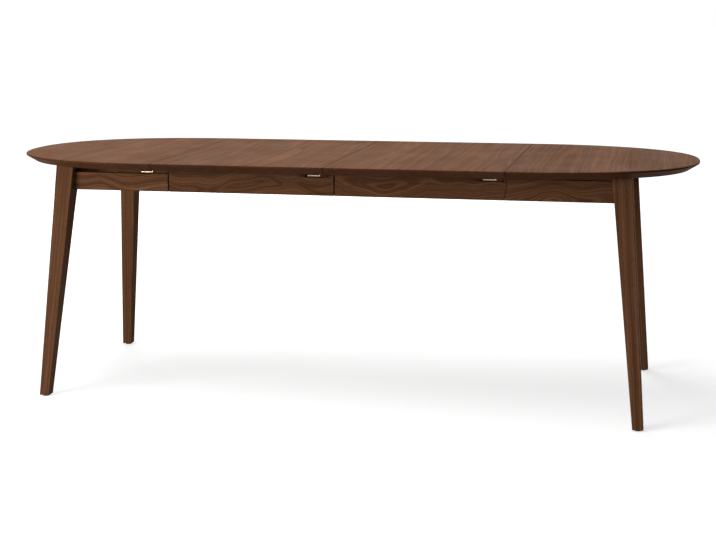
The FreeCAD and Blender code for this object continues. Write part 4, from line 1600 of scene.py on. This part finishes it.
@dataclass
class Legs:
    """The four legs on their nylon glides.

    Attributes:
        shop: Where pieces are made.
        foot_ease: Radius at the foot.
        spans: Lengths between foot and top.
        glide: Radius and height of a glide and of its stem.
        stem: Height at which the stem enters the leg.
    """

    shop: Workshop
    foot_ease: float = 0.0015
    spans: int = 12
    glide: Profile = (
        (0.0098, 0.0), (0.0106, 0.0003), (0.011, 0.0011), (0.011, 0.0034), (0.0107, 0.0039),
        (0.0035, 0.004), (0.003, 0.0045), (0.003, 0.018))
    stem: float = 0.004

    def leg(self, node: str) -> Skin:
        """One leg: a rounded square that grows and moves in a straight line from foot to top.

        Args:
            node: Its node.

        Returns:
            The closed skin, in the right back corner.
        """
        low, high = self.shop.table.box(node)
        foot, top = (Outline.rounded(rectangle((-size, -size), (size, size)), LEG.edge,
                                     arc_steps=5, side_steps=4)
                     for size in (LEG.foot_half, LEG.top_half))
        level, inset, worn = stations(low[2], high[2], self.foot_ease, self.spans)
        share = (level / LEG.full_height)[..., None]
        section = foot.points + (top.points - foot.points) * share - foot.normals * inset[..., None]
        rings = placed(Axis.Z, level, section + LEG.centre(level))
        return loft(rings, np.maximum(foot.eased, worn))

    def build(self) -> None:
        """Make the legs and their glides."""
        lane = 0
        for name, side in SIDES:
            glides = []
            for word, front in FACES:
                node = f"{name}_{word}_leg"
                flip = np.array([side, front])
                skin = self.leg(node).flipped(side, front)
                lean_x, lean_y = (np.array(LEG.top) - np.array(LEG.foot)) * flip / LEG.full_height
                skin.grain = LEG_WOOD.grain((lean_x, lean_y, 1), (1, 0, -lean_x), (0, 1, -lean_y),
                                            (*(np.array(LEG.foot) * flip), 0.0), lane)
                self.shop.piece(f"{name}_{word}_tapered_leg", [skin], node, LEG_WOOD)
                glides.append(turned(self.glide, np.append(LEG.centre(self.stem) * flip, 0.0)))
                lane += 1
            self.shop.piece(f"{name}_moulded_glides", glides, f"{name}_glides", NYLON)


# ---- aprons -----------------------------------------------------------------
@dataclass
class Aprons:
    """The boards that hang under the rim of the top.

    Attributes:
        shop: Where pieces are made.
        hinge_height: Height of the leaf's fold line.
        ease: Radius of the ends.
        swing_run: How far the swung end leans along the leaf.
        notch_ease: Radius in the corners of a notch.
    """

    shop: Workshop
    hinge_height: float = 0.7504
    ease: float = 0.001
    swing_run: float = 0.01
    notch_ease: float = 0.0006

    def swung(self, z: np.ndarray, at: tuple[float, float]) -> np.ndarray:
        """X at each height on a circle about the fold line, through the given X and height."""
        radius = math.hypot(at[0], self.hinge_height - at[1])
        return np.sqrt(radius ** 2 - (self.hinge_height - z) ** 2)

    def along_x(self, node: str, lane: int, side: int = 0) -> Skin:
        """An apron along the front or the back.

        Args:
            node: Its node.
            lane: Its number in the log.
            side: -1 or 1 where it belongs to an end frame.

        Returns:
            The closed skin.
        """
        low, high = self.shop.table.box(node)
        section = Outline.rounded(rectangle(low[1:], high[1:]), self.ease * LONG_EDGE, side_steps=8)
        z = section.points[:, 1]
        start, end = low[0], high[0]
        if node.startswith("leaf_2"):
            end = self.swung(z, (high[0], high[2]))
        if side > 0:
            start, end = self.swung(z, (low[0], low[2])), LEG.housing(z, Axis.X)
        if side < 0:
            start = -LEG.housing(z, Axis.X)
        skin = carried(section, Axis.X, start, end, self.ease, spans=8)
        facing = math.copysign(1, low[1])
        skin.grain = APRON_WOOD.grain((1, 0, 0), (0, 0, 1), (0, -facing, 0),
                                      (0, facing * abs(high[1]), (low[2] + high[2]) / 2), lane)
        return skin

    def notch(self, node: str) -> list[Skin]:
        """The notch in a leaf apron's top edge that a lock handle swings in.

        Its lower corners are the only ones of the front face between the long edges,
        away from the swung end.

        Args:
            node: The apron's node.

        Returns:
            One block, past both faces and over the top edge.
        """
        low, high = self.shop.table.box(node)
        points = self.shop.table.solids(node)[0]
        level = points[:, 2]
        between = (level > low[2] + self.ease) & (level < high[2] - self.ease)
        between &= points[:, 0] < high[0] - self.swing_run
        between &= points[:, 1] < low[1] + self.notch_ease
        start, end = points[between].min(axis=0), points[between].max(axis=0)
        block_low = np.array([start[0], low[1] - self.ease, start[2]])
        block_high = np.array([end[0], high[1] + self.ease, high[2] + self.ease])
        return [board(block_low, block_high, Axis.Y, self.notch_ease)]

    def across(self, node: str, lane: int, side: int) -> Skin:
        """An apron between the two legs of an end.

        Args:
            node: Its node.
            lane: Its number in the log.
            side: -1 or 1.

        Returns:
            The closed skin.
        """
        low, high = self.shop.table.box(node)
        corners = rectangle((low[2], low[0]), (high[2], high[0]))
        section = Outline.rounded(corners, self.ease * LONG_EDGE, side_steps=8)
        reach = LEG.housing(section.points[:, 0], Axis.Y)
        skin = carried(section, Axis.Y, -reach, reach, self.ease, spans=8)
        skin.grain = APRON_WOOD.grain((0, 1, 0), (0, 0, 1), (-side, 0, 0),
                                      (high[0], 0, (low[2] + high[2]) / 2), lane)
        return skin

    def build(self) -> None:
        """Make the ten aprons."""
        lane = 0
        for word, _ in FACES:
            for name, side in (("leaf_1", 0), ("leaf_2", 0), *SIDES):
                node = f"{name}_{word}_apron"
                skins = [self.along_x(node, lane, side)]
                cuts = [] if side else self.notch(node)
                self.shop.piece(f"{node}_board", skins, node, APRON_WOOD, cuts)
                lane += 1
        for name, side in SIDES:
            node = f"{name}_end_apron"
            self.shop.piece(f"{node}_board", [self.across(node, lane, side)], node, APRON_WOOD)
            lane += 1


# ---- underside --------------------------------------------------------------
@dataclass
class Bearers:
    """The battens, cleats, cross ties and corner blocks under the top.

    Attributes:
        shop: Where pieces are made.
        ease: Radius of the edges.
        fit: Room between a corner block and its leg.
    """

    shop: Workshop
    ease: float = 0.0012
    fit: float = 0.0003

    def bars(self, name: str, node: str, finish: WoodFinish, lane: int) -> None:
        """Make the bars of a node, each along Y.

        Args:
            name: The piece's name.
            node: The node.
            finish: Their wood.
            lane: The first one's number in the log.
        """
        skins = []
        for number, (low, high) in enumerate(self.shop.table.blocks(node), lane):
            skin = board(low, high, Axis.Y, self.ease)
            middle = (low[0] + high[0]) / 2
            skin.grain = finish.grain((0, 1, 0), (1, 0, 0), (0, 0, 1), (middle, 0, low[2]), number)
            skins.append(skin)
        self.shop.piece(name, skins, node, finish)

    def corner_block(self, low: np.ndarray, high: np.ndarray, side: int, front: int,
                     lane: int) -> Skin:
        """A corner block: a triangle in plan, notched for the leg, whose faces lean with it.

        Args:
            low: Its lowest corner.
            high: Its highest corner.
            side: -1 or 1.
            front: -1 or 1.
            lane: Its number in the log.

        Returns:
            The closed skin.
        """
        flip = np.array([side, front])
        near = np.minimum(low[:2] * flip, high[:2] * flip)
        far = np.maximum(low[:2] * flip, high[:2] * flip)
        level, inset, worn = stations(low[2], high[2], self.ease)
        rings, eased = [], []
        for z, depth in zip(level[:, 0], inset):
            notch = LEG.inner(z) - self.fit
            corners = [(far[0], near[1]), (far[0], notch[1]), tuple(notch),
                       (notch[0], far[1]), (near[0], far[1])]
            outline = Outline.rounded(corners, self.ease * LONG_EDGE, arc_steps=3)
            rings.append(placed(Axis.Z, z, outline.points - outline.normals * depth))
            eased.append(outline.eased)
        skin = loft(np.array(rings), np.maximum(eased, worn), Cap.FACE).flipped(side, front)
        skin.grain = BATTEN_WOOD.grain((side, -front, 0), (0, 0, 1), (side, front, 0),
                                       (0, 0, low[2]), lane)
        return skin

    def build(self) -> None:
        """Make all of them."""
        self.bars("leaf_1_batten_bars", "leaf_1_battens", BATTEN_WOOD, 0)
        self.bars("leaf_2_batten_bars", "leaf_2_battens", BATTEN_WOOD, 2)
        self.bars("cross_tie_bars", "centre_cross_ties", RUNNER_WOOD, 0)
        lane = 4
        for name, side in SIDES:
            self.bars(f"{name}_cleat_bars", f"{name}_cleats", BATTEN_WOOD, lane)
            node = f"{name}_corner_blocks"
            skins = [self.corner_block(low, high, side, 1 if low[1] > 0 else -1, number)
                     for number, (low, high) in enumerate(self.shop.table.blocks(node), lane + 2)]
            self.shop.piece(f"{name}_glued_blocks", skins, node, BATTEN_WOOD)
            lane += 4


# ---- runners ----------------------------------------------------------------
class RailSide(Enum):
    """What a rail has along one side."""

    PLAIN = "plain"
    GROOVE = "groove"
    TONGUE = "tongue"


@dataclass
class Runners:
    """The telescopic rails, their racks and their pinions.

    Attributes:
        shop: Where pieces are made.
        thick: Thickness of a rail.
        ease: Radius of its edges.
        hold: How far beside an edge its flat side starts.
        tongue: Height of a tongue.
        reach: How far a tongue stands out.
        play: Clearance round a tongue in its groove, and above and below a pinion.
        groove: Depth of a groove.
        drop: From the top of the rails to a tongue.
        level: Height of the top of the rails.
        pocket_half: Half length of a pinion's pocket.
        pocket_tall: Half its height.
        cut_ease: Radius in the corners of grooves and pockets for the gears.
    """

    shop: Workshop
    thick: float = 0.022
    ease: float = 0.0008
    hold: float = 0.0003
    tongue: float = 0.006
    reach: float = 0.0046
    groove: float = 0.0043
    play: float = 0.0003
    drop: float = 0.0035
    level: float = 0.713
    pocket_half: float = 0.0165
    pocket_tall: float = 0.0045
    cut_ease: float = 0.0001

    def section(self, middle: float, bottom: float, top: float, left: RailSide,
                right: RailSide) -> Outline:
        """A rail's section.

        Args:
            middle: Its centre line.
            bottom: Its underside.
            top: Its upper side.
            left: What its -Y side has.
            right: What its +Y side has.

        Returns:
            The outline, looking along X.
        """
        half = self.thick / 2
        high = self.level - self.drop
        low = high - self.tongue
        corners = [(-half, bottom), (half, bottom)]
        radii = [self.ease, self.ease]
        for kind, way in ((right, 1), (left, -1)):
            if kind is not RailSide.PLAIN:
                out = half + self.reach if kind is RailSide.TONGUE else half - self.groove
                grow = 0.0 if kind is RailSide.TONGUE else self.play
                levels = [low - grow, low - grow, high + grow, high + grow][::way]
                corners += [(way * x, z) for x, z in zip((half, out, out, half), levels)]
                radii += [self.ease / 2] * 4
            if way > 0:
                corners += [(half, top), (-half, top)]
                radii += [self.ease, self.ease]
        outline = Outline.rounded(corners, radii, arc_steps=3, hold=self.hold)
        return Outline(outline.points + np.array([middle, 0.0]), outline.normals, outline.eased)

    def rail(self, low: np.ndarray, high: np.ndarray, left: RailSide, right: RailSide,
             lane: int) -> Skin:
        """One rail, along X.

        Args:
            low: Its lowest corner.
            high: Its highest corner.
            left: What its -Y side has.
            right: What its +Y side has.
            lane: Its number in the log.

        Returns:
            The closed skin.
        """
        out_left = self.reach if left is RailSide.TONGUE else 0.0
        middle = low[1] + out_left + self.thick / 2
        outline = self.section(middle, low[2], high[2], left, right)
        skin = carried(outline, Axis.X, low[0], high[0], self.ease, Cap.FACE)
        skin.grain = RUNNER_WOOD.grain((1, 0, 0), (0, 0, 1), (0, 1, 0),
                                       (0, middle, (low[2] + high[2]) / 2), lane)
        return skin

    def rack_cuts(self, node: str) -> list[Skin]:
        """The grooves that the racks of a node lie in.

        A rack on the centre rail opens away from the middle, and any other one
        towards its pinion, which is back towards the middle of the rails.

        Args:
            node: The racks' node.

        Returns:
            A block for each rack, out past the face that it opens to.
        """
        cuts = []
        for low, high in self.shop.table.blocks(node):
            middle = (low[1] + high[1]) / 2
            way = math.copysign(1, middle) * (1 if node == "centre_racks" else -1)
            low = low - np.array([0, self.thick * (way < 0), self.play])
            high = high + np.array([0, self.thick * (way > 0), self.play])
            cuts.append(board(low, high, Axis.X, self.cut_ease))
        return cuts

    def pinion_cut(self, node: str) -> list[Skin]:
        """The pocket of a pinion, through its rail.

        Args:
            node: The pinion's node.

        Returns:
            One block.
        """
        low, high = self.shop.table.box(node)
        middle = (low + high) / 2
        size = np.array([self.pocket_half, self.thick, self.pocket_tall])
        return [board(middle - size, middle + size, Axis.X, self.cut_ease)]

    def build(self) -> None:
        """Make the rails and dress the racks and pinions."""
        groove, tongue, plain = RailSide.GROOVE, RailSide.TONGUE, RailSide.PLAIN
        kinds = (
            ("centre_rails", groove, groove, "centre_racks", "centre_pinion"),
            ("left_middle_rails", tongue, tongue, "left_middle_rack", "left_stage_pinion"),
            ("right_middle_rails", tongue, tongue, "right_middle_rack", "right_stage_pinion"),
            ("left_rails", plain, groove, "left_rack", None),
            ("right_rails", groove, plain, "right_rack", None),
        )
        lane = 0
        for node, left, right, racks, pinion in kinds:
            outer_1, geared, outer_2 = (
                self.rail(low, high, left, right, number)
                for number, (low, high) in enumerate(self.shop.table.blocks(node), lane))
            cuts = self.rack_cuts(racks) + (self.pinion_cut(pinion) if pinion else [])
            self.shop.piece(f"{node}_outer", [outer_1, outer_2], node, RUNNER_WOOD)
            self.shop.piece(f"{node}_geared", [geared], node, RUNNER_WOOD, cuts)
            self.shop.table.dress((racks, pinion) if pinion else (racks,), GEAR_STEEL)
            lane += 3
        self.shop.table.dress(HINGES, HINGE_BRASS)


# ---- hardware ---------------------------------------------------------------
@dataclass
class Locks:
    """The seam locks: base plates with a stud, keeper plates with a pin, and cranked levers.

    Attributes:
        shop: Where pieces are made.
        plate: Thickness of the plates.
        plate_corner: Radius of a plate's corners.
        pressed: Radius of the pressed edges.
        stud_in: From a base plate's left end to its stud.
        stud: Radius and height of the boss, the stud and its riveted head.
        pin_in: From a keeper plate's left end to its pin.
        pin: Radius and height of the pin.
    """

    shop: Workshop
    plate: float = 0.002
    plate_corner: float = 0.004
    pressed: float = 0.0004
    stud_in: float = 0.032
    stud: Profile = (
        (0.0069, 0.7243), (0.007, 0.724), (0.007, 0.7209), (0.0067, 0.7206), (0.0041, 0.7206),
        (0.004, 0.7204), (0.004, 0.7172), (0.0062, 0.7172), (0.0065, 0.7169), (0.0065, 0.7163),
        (0.0058, 0.7157), (0.0036, 0.7153), (0.001, 0.7152))
    pin_in: float = 0.010
    pin: Profile = (
        (0.0044, 0.7242), (0.0042, 0.724), (0.0033, 0.7236), (0.003, 0.723), (0.003, 0.7157),
        (0.0026, 0.7152), (0.002, 0.715))

    def plates(self, name: str, node: str, profile: Profile, along: float) -> None:
        """Make the plates of a node, each with what stands on it.

        Args:
            name: The piece's name.
            node: The node.
            profile: Radius and height of the turned part.
            along: From a plate's left end to the turned part's line.
        """
        skins = []
        for low, high in self.shop.table.blocks(node):
            flat = Outline.rounded(rectangle(low, high), self.plate_corner, arc_steps=6)
            lowest = high[2] - self.plate
            skins.append(carried(flat, Axis.Z, lowest, high[2], self.pressed, Cap.FACE, spans=1))
            foot = np.array([low[0] + along, (low[1] + high[1]) / 2, 0.0])
            skins.append(turned(profile, foot))
        self.shop.piece(name, skins, node, ZINC_STEEL)

    def build(self) -> None:
        """Make the plates and the levers of the three seams."""
        for seam in ("left", "middle", "right"):
            self.plates(f"{seam}_base_plates", f"lock_bases_{seam}", self.stud, self.stud_in)
            self.plates(f"{seam}_keeper_plates", f"lock_keepers_{seam}", self.pin, self.pin_in)
            for word, _ in FACES:
                node = f"lock_lever_{seam}_{word}"
                self.shop.softened(f"{seam}_{word}_cranked_lever", node, ZINC_STEEL, self.pressed)


@dataclass
class Fasteners:
    """The leg bolts with their washers and nuts, and the wood screws.

    Attributes:
        shop: Where pieces are made.
        tail: How far a bolt stands out of its corner block.
        bolt: Radius over the thread.
        thread: Depth of the thread.
        pitch: From one thread to the next.
        thread_rings: Rings to a pitch.
        bolt_ends: Depth of the cut at a bolt's two ends, over that of the thread.
        washer: Radius and height of the washer.
        nut: Width across the flats and thickness.
        nut_seat: From the block to the nut.
        chamfer: Heights of the rings in the nut's chamfer.
        chamfer_start: The chamfer's least radius over half the nut's width.
        chamfer_slope: How fast it grows with height.
        dome: Rise of a screw's head.
        face: Radii of the rings on a head's face, over that of its rim.
        head_edge: From a head's face to the top of its rim.
        cross: Half width and length of an arm of the cross recess.
        recess: Radius of the recess's bottom over that of its rim, and its depth below
            the base over the dome.
        point: Length and least radius of a screw's point.
        spin: How many steps each recess is turned from the last one.
        steps: Steps round a bolt or a screw.
    """

    shop: Workshop
    tail: float = 0.014
    bolt: float = 0.004
    thread: float = 0.0006
    pitch: float = 0.00125
    thread_rings: int = 4
    bolt_ends: float = 1.5
    washer: Profile = ((0.0077, 0.0), (0.008, -0.0003), (0.008, -0.0013), (0.0077, -0.0016))
    nut: tuple[float, float] = (0.013, 0.0065)
    nut_seat: float = 0.0016
    chamfer: tuple[float, ...] = (0.0, 0.00015, 0.0003, 0.00045, 0.0006)
    chamfer_start: float = 0.95
    chamfer_slope: float = 1.73
    dome: float = 0.0008
    face: tuple[float, ...] = (0.66, 0.8, 0.92, 0.985)
    head_edge: float = 0.0002
    cross: tuple[float, float] = (0.0006, 0.0022)
    recess: tuple[float, float] = (0.6, 0.1)
    point: tuple[float, float] = (0.006, 0.0002)
    spin: int = 5
    steps: int = 24

    def threaded(self, base: np.ndarray, way: np.ndarray, start: float, end: float) -> Skin:
        """A threaded bolt.

        The radius falls by the thread's depth as a triangle wave of height / pitch
        minus turn / whole turn, and the bolt's two ends are cut back at 45 degrees.

        Args:
            base: The point at height 0.
            way: Its direction.
            start: Height of its near end.
            end: Height of its far end.

        Returns:
            The closed skin.
        """
        height = np.arange(start, end, self.pitch / self.thread_rings)
        turn = (np.arange(self.steps) + 0.5) / self.steps
        wave = np.abs(2 * ((height[:, None] / self.pitch - turn) % 1.0) - 1.0)
        from_end = np.minimum(height - start, height[-1] - height)[:, None]
        radius = np.minimum(self.bolt - self.thread * wave,
                            self.bolt - self.bolt_ends * self.thread + from_end)
        return spun(radius, height, base, way)

    def hexagon(self, base: np.ndarray, way: np.ndarray) -> Skin:
        """A hexagon nut: half its width over the cosine of the turn from a flat, chamfered.

        Args:
            base: The point where the bolt leaves the block.
            way: The bolt's direction.

        Returns:
            The closed skin.
        """
        across, thick = self.nut
        turn = (np.arange(2 * self.steps) + 0.5) * math.pi / self.steps
        flat = across / 2 / np.cos((turn + math.pi / 6) % (math.pi / 3) - math.pi / 6)
        near = np.array(self.chamfer)
        height = np.concatenate([near, thick - near[::-1]])
        rise = np.minimum(height, thick - height)[:, None]
        limit = self.chamfer_start * across / 2 + self.chamfer_slope * rise
        return spun(np.minimum(flat, limit), -self.nut_seat - height, base, way)

    def leg_bolts(self, name: str, side: int) -> None:
        """Make the two leg bolts of an end, each square to its corner block.

        Args:
            name: The end's name.
            side: -1 or 1.
        """
        node = f"{name}_leg_bolts"
        points = np.concatenate(self.shop.table.solids(node))
        level = (points[:, 2].min() + points[:, 2].max()) / 2
        skins = []
        for _, front in FACES:
            flip = np.array([side, front, 1.0])
            way = unit(flip * [1, 1, 0])
            edge = np.append(LEG.inner(level), level) * flip
            own = points[points[:, 1] * front > 0] @ way
            base = edge + way * (own.min() + self.tail - edge @ way)
            skins += [self.threaded(base, way, -self.tail, np.ptp(own) - self.tail),
                      turned(self.washer, base, way), self.hexagon(base, way)]
        self.shop.piece(f"{name}_hanger_bolts", skins, node, ZINC_STEEL)

    def screw(self, points: np.ndarray, spin: int) -> Skin:
        """A wood screw with a cross recess in its raised head.

        The head rises by dome * (1 - (radius / rim) squared).  The recess is a cross,
        whose radius at a turn is the farther of its two bars' edges.

        Args:
            points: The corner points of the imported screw.
            spin: How many steps the recess is turned.

        Returns:
            The closed skin.
        """
        low, high = points.min(axis=0), points.max(axis=0)
        centre = (low + high) / 2
        out = np.hypot(points[:, 0] - centre[0], points[:, 1] - centre[1])
        rim, shank = out.max(), out.min()
        head = points[out > HEAD * rim, 2]
        upward = head.mean() < centre[2]
        thick, length = np.ptp(head), high[2] - low[2]
        rise = self.dome if upward else 0.0
        turn = (np.arange(self.steps) + 0.5) * 2 * math.pi / self.steps
        across, along = np.abs(np.cos(turn)), np.abs(np.sin(turn))
        half, arm = self.cross
        bars = np.maximum(np.minimum(arm / across, half / along),
                          np.minimum(half / across, arm / along))
        bars = np.roll(bars, spin)
        face = np.array(self.face)
        tip, tip_radius = self.point
        narrow, sunk = self.recess
        radius = (narrow * bars, bars, *(face * rim), rim, rim, shank, shank, tip_radius)
        height = (-sunk * rise, -rise * (1 - (bars / rim) ** 2), *(-rise * (1 - face ** 2)),
                  self.head_edge, thick, thick, length - tip, length)
        rings, levels = (np.array([np.broadcast_to(value, turn.shape) for value in values])
                         for values in (radius, height))
        base = np.append(centre[:2], low[2] if upward else high[2])
        return spun(rings, levels, base, UP if upward else -UP)

    def build(self) -> None:
        """Make the leg bolts and the screws."""
        for name, side in SIDES:
            self.leg_bolts(name, side)
        for name in ("centre", "leaf_2", "left", "right"):
            node = f"screws_{name}"
            solids = self.shop.table.solids(node)
            skins = [self.screw(points, self.spin * number) for number, points in enumerate(solids)]
            self.shop.piece(f"{name}_wood_screws", skins, node, ZINC_STEEL)


# ---- studio -----------------------------------------------------------------
@dataclass(frozen=True)
class SoftLamp:
    """One soft box.

    Attributes:
        name: Its name.
        place: Where it hangs.
        aim: The point that it looks at.
        size: Width and height.
        power: Light output in watts.
        mirrored: Whether glossy surfaces show it.
    """

    name: str
    place: Triple
    aim: Triple
    size: tuple[float, float]
    power: float
    mirrored: bool = True

    def hang(self) -> None:
        """Put the lamp into the scene, out of the camera's sight."""
        data = bpy.data.lights.new(self.name, "AREA")
        data.shape = "RECTANGLE"
        data.size, data.size_y = self.size
        data.energy = self.power
        lamp = shown(self.name, data)
        lamp.location = self.place
        look = Vector(self.aim) - Vector(self.place)
        lamp.rotation_euler = look.to_track_quat("-Z", "Y").to_euler()
        lamp.visible_camera = False
        lamp.visible_glossy = self.mirrored


@dataclass
class Studio:
    """The camera, the lamps and the pale floor.

    Attributes:
        sensor: Width of the sensor in millimetres.
        lens: Focal length in millimetres.
        sight: How far the camera sees.
        yaw: Turn of the camera to the left of +Y, in radians.
        pitch: How far it looks down.
        roll: How far it leans.
        stand: Where it stands.
        sky: Strength of the even light from all round.
        floor_tone: Reflectance of the floor for the light that it throws back.
        floor_seen: Its reflectance for the camera.
        floor_lift: White that the camera sees on top of the floor's own shading.
        floor_fade: Distances from the table between which that white grows to its full.
        floor_size: Half width of the floor.
        lamps: The soft boxes.
    """

    sensor: float = 36.0
    lens: float = 71.023
    sight: float = 200.0
    yaw: float = 0.21867
    pitch: float = 0.18796
    roll: float = -0.00376
    stand: Triple = (0.984145, -4.360483, 1.222832)
    sky: float = 0.12
    floor_tone: float = 0.4
    floor_seen: float = 0.9
    floor_lift: float = 0.62
    floor_fade: tuple[float, float] = (1.8, 4.5)
    floor_size: float = 60.0
    lamps: tuple[SoftLamp, ...] = (
        SoftLamp("overhead_box", (-0.6, -0.2, 3.4), (0.0, 0.0, 0.7), (3.6, 2.4), 70.0),
        SoftLamp("front_box", (-3.4, -3.6, 1.2), (0.0, 0.0, 0.6), (2.6, 1.8), 155.0),
        SoftLamp("back_box", (-2.2, 4.4, 1.6), (0.0, 0.0, 0.6), (2.6, 1.8), 60.0, mirrored=False),
    )

    def camera(self) -> None:
        """Stand the camera: its axes come from the yaw, the pitch and the roll."""
        look = np.array([-math.sin(self.yaw) * math.cos(self.pitch),
                         math.cos(self.yaw) * math.cos(self.pitch), -math.sin(self.pitch)])
        level = np.array([math.cos(self.yaw), math.sin(self.yaw), 0.0])
        rise = np.cross(level, look)
        right = level * math.cos(self.roll) + rise * math.sin(self.roll)
        upward = rise * math.cos(self.roll) - level * math.sin(self.roll)
        data = bpy.data.cameras.new("camera")
        data.sensor_width = self.sensor
        data.lens = self.lens
        data.clip_end = self.sight
        camera = shown("camera", data)
        pose = np.eye(4)
        pose[:3, 0], pose[:3, 1], pose[:3, 2], pose[:3, 3] = right, upward, -look, self.stand
        camera.matrix_world = Matrix(pose.tolist())
        bpy.context.scene.camera = camera

    def world(self) -> None:
        """Light evenly from all round, pure white to the camera and in reflections."""
        world = bpy.data.worlds.new("studio")
        bpy.context.scene.world = world
        world.use_nodes = True
        sheet = Sheet(world.node_tree)
        path = sheet.add("LightPath").outputs
        seen = sheet.math("MAXIMUM", path["Is Camera Ray"], path["Is Glossy Ray"])
        seen = sheet.math("MAXIMUM", seen, path["Is Transmission Ray"])
        strength = sheet.line(seen, 1.0 - self.sky, self.sky)
        light = sheet.add("Background", {"Color": grey(1.0), "Strength": strength})
        sheet.add("OutputWorld", {"Surface": light.outputs[0]})

    def paint(self) -> bpy.types.Material:
        """Mix the floor's paint: each kind of ray sees its own white, and none from below.

        Returns:
            The paint.
        """
        paint = bpy.data.materials.new("floor")
        paint.use_nodes = True
        sheet = Sheet(paint.node_tree)
        path = sheet.add("LightPath").outputs
        mirrored = sheet.math("MAXIMUM", path["Is Glossy Ray"], path["Is Transmission Ray"])
        ground = sheet.mix(path["Is Camera Ray"], grey(self.floor_tone), grey(self.floor_seen))
        matt = sheet.add("BsdfDiffuse", {"Color": sheet.mix(mirrored, ground, grey(0.0))})
        place = sheet.add("TexCoord").outputs["Object"]
        away = sheet.add("VectorMath", {0: place}, operation="LENGTH").outputs["Value"]
        lift = sheet.smooth(away, *self.floor_fade, to_low=self.floor_lift)
        strength = sheet.line(path["Is Camera Ray"], lift, mirrored)
        glow = sheet.add("Emission", {"Color": grey(1.0), "Strength": strength})
        lit = sheet.add("AddShader", {0: matt.outputs[0], 1: glow.outputs[0]})
        below = sheet.add("NewGeometry").outputs["Backfacing"]
        clear = sheet.add("BsdfTransparent").outputs[0]
        both = sheet.add("MixShader", {0: below, 1: lit.outputs[0], 2: clear})
        sheet.add("OutputMaterial", {"Surface": both.outputs[0]})
        return paint

    def floor(self) -> None:
        """Lay the floor."""
        mesh = bpy.data.meshes.new("floor")
        side = self.floor_size
        corners = rectangle((-side, -side), (side, side))
        mesh.from_pydata([(x, y, 0.0) for x, y in corners], [], [tuple(range(len(corners)))])
        mesh.materials.append(self.paint())
        shown("floor", mesh)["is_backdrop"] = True

    def build(self) -> None:
        """Set the view transform, the light, the floor and the camera."""
        bpy.context.scene.view_settings.view_transform = "Standard"
        self.world()
        self.floor()
        for lamp in self.lamps:
            lamp.hang()
        self.camera()


def main() -> None:
    """Build the finish of the table, piece by piece."""
    logging.basicConfig(level=logging.INFO, format="%(name)s %(message)s")
    table = PackedTable()
    shop = Workshop(table)
    Studio().build()
    for assembly in (Tops, Legs, Aprons, Bearers, Runners, Locks, Fasteners):
        assembly(shop).build()


if __name__ == "__main__":
    main()
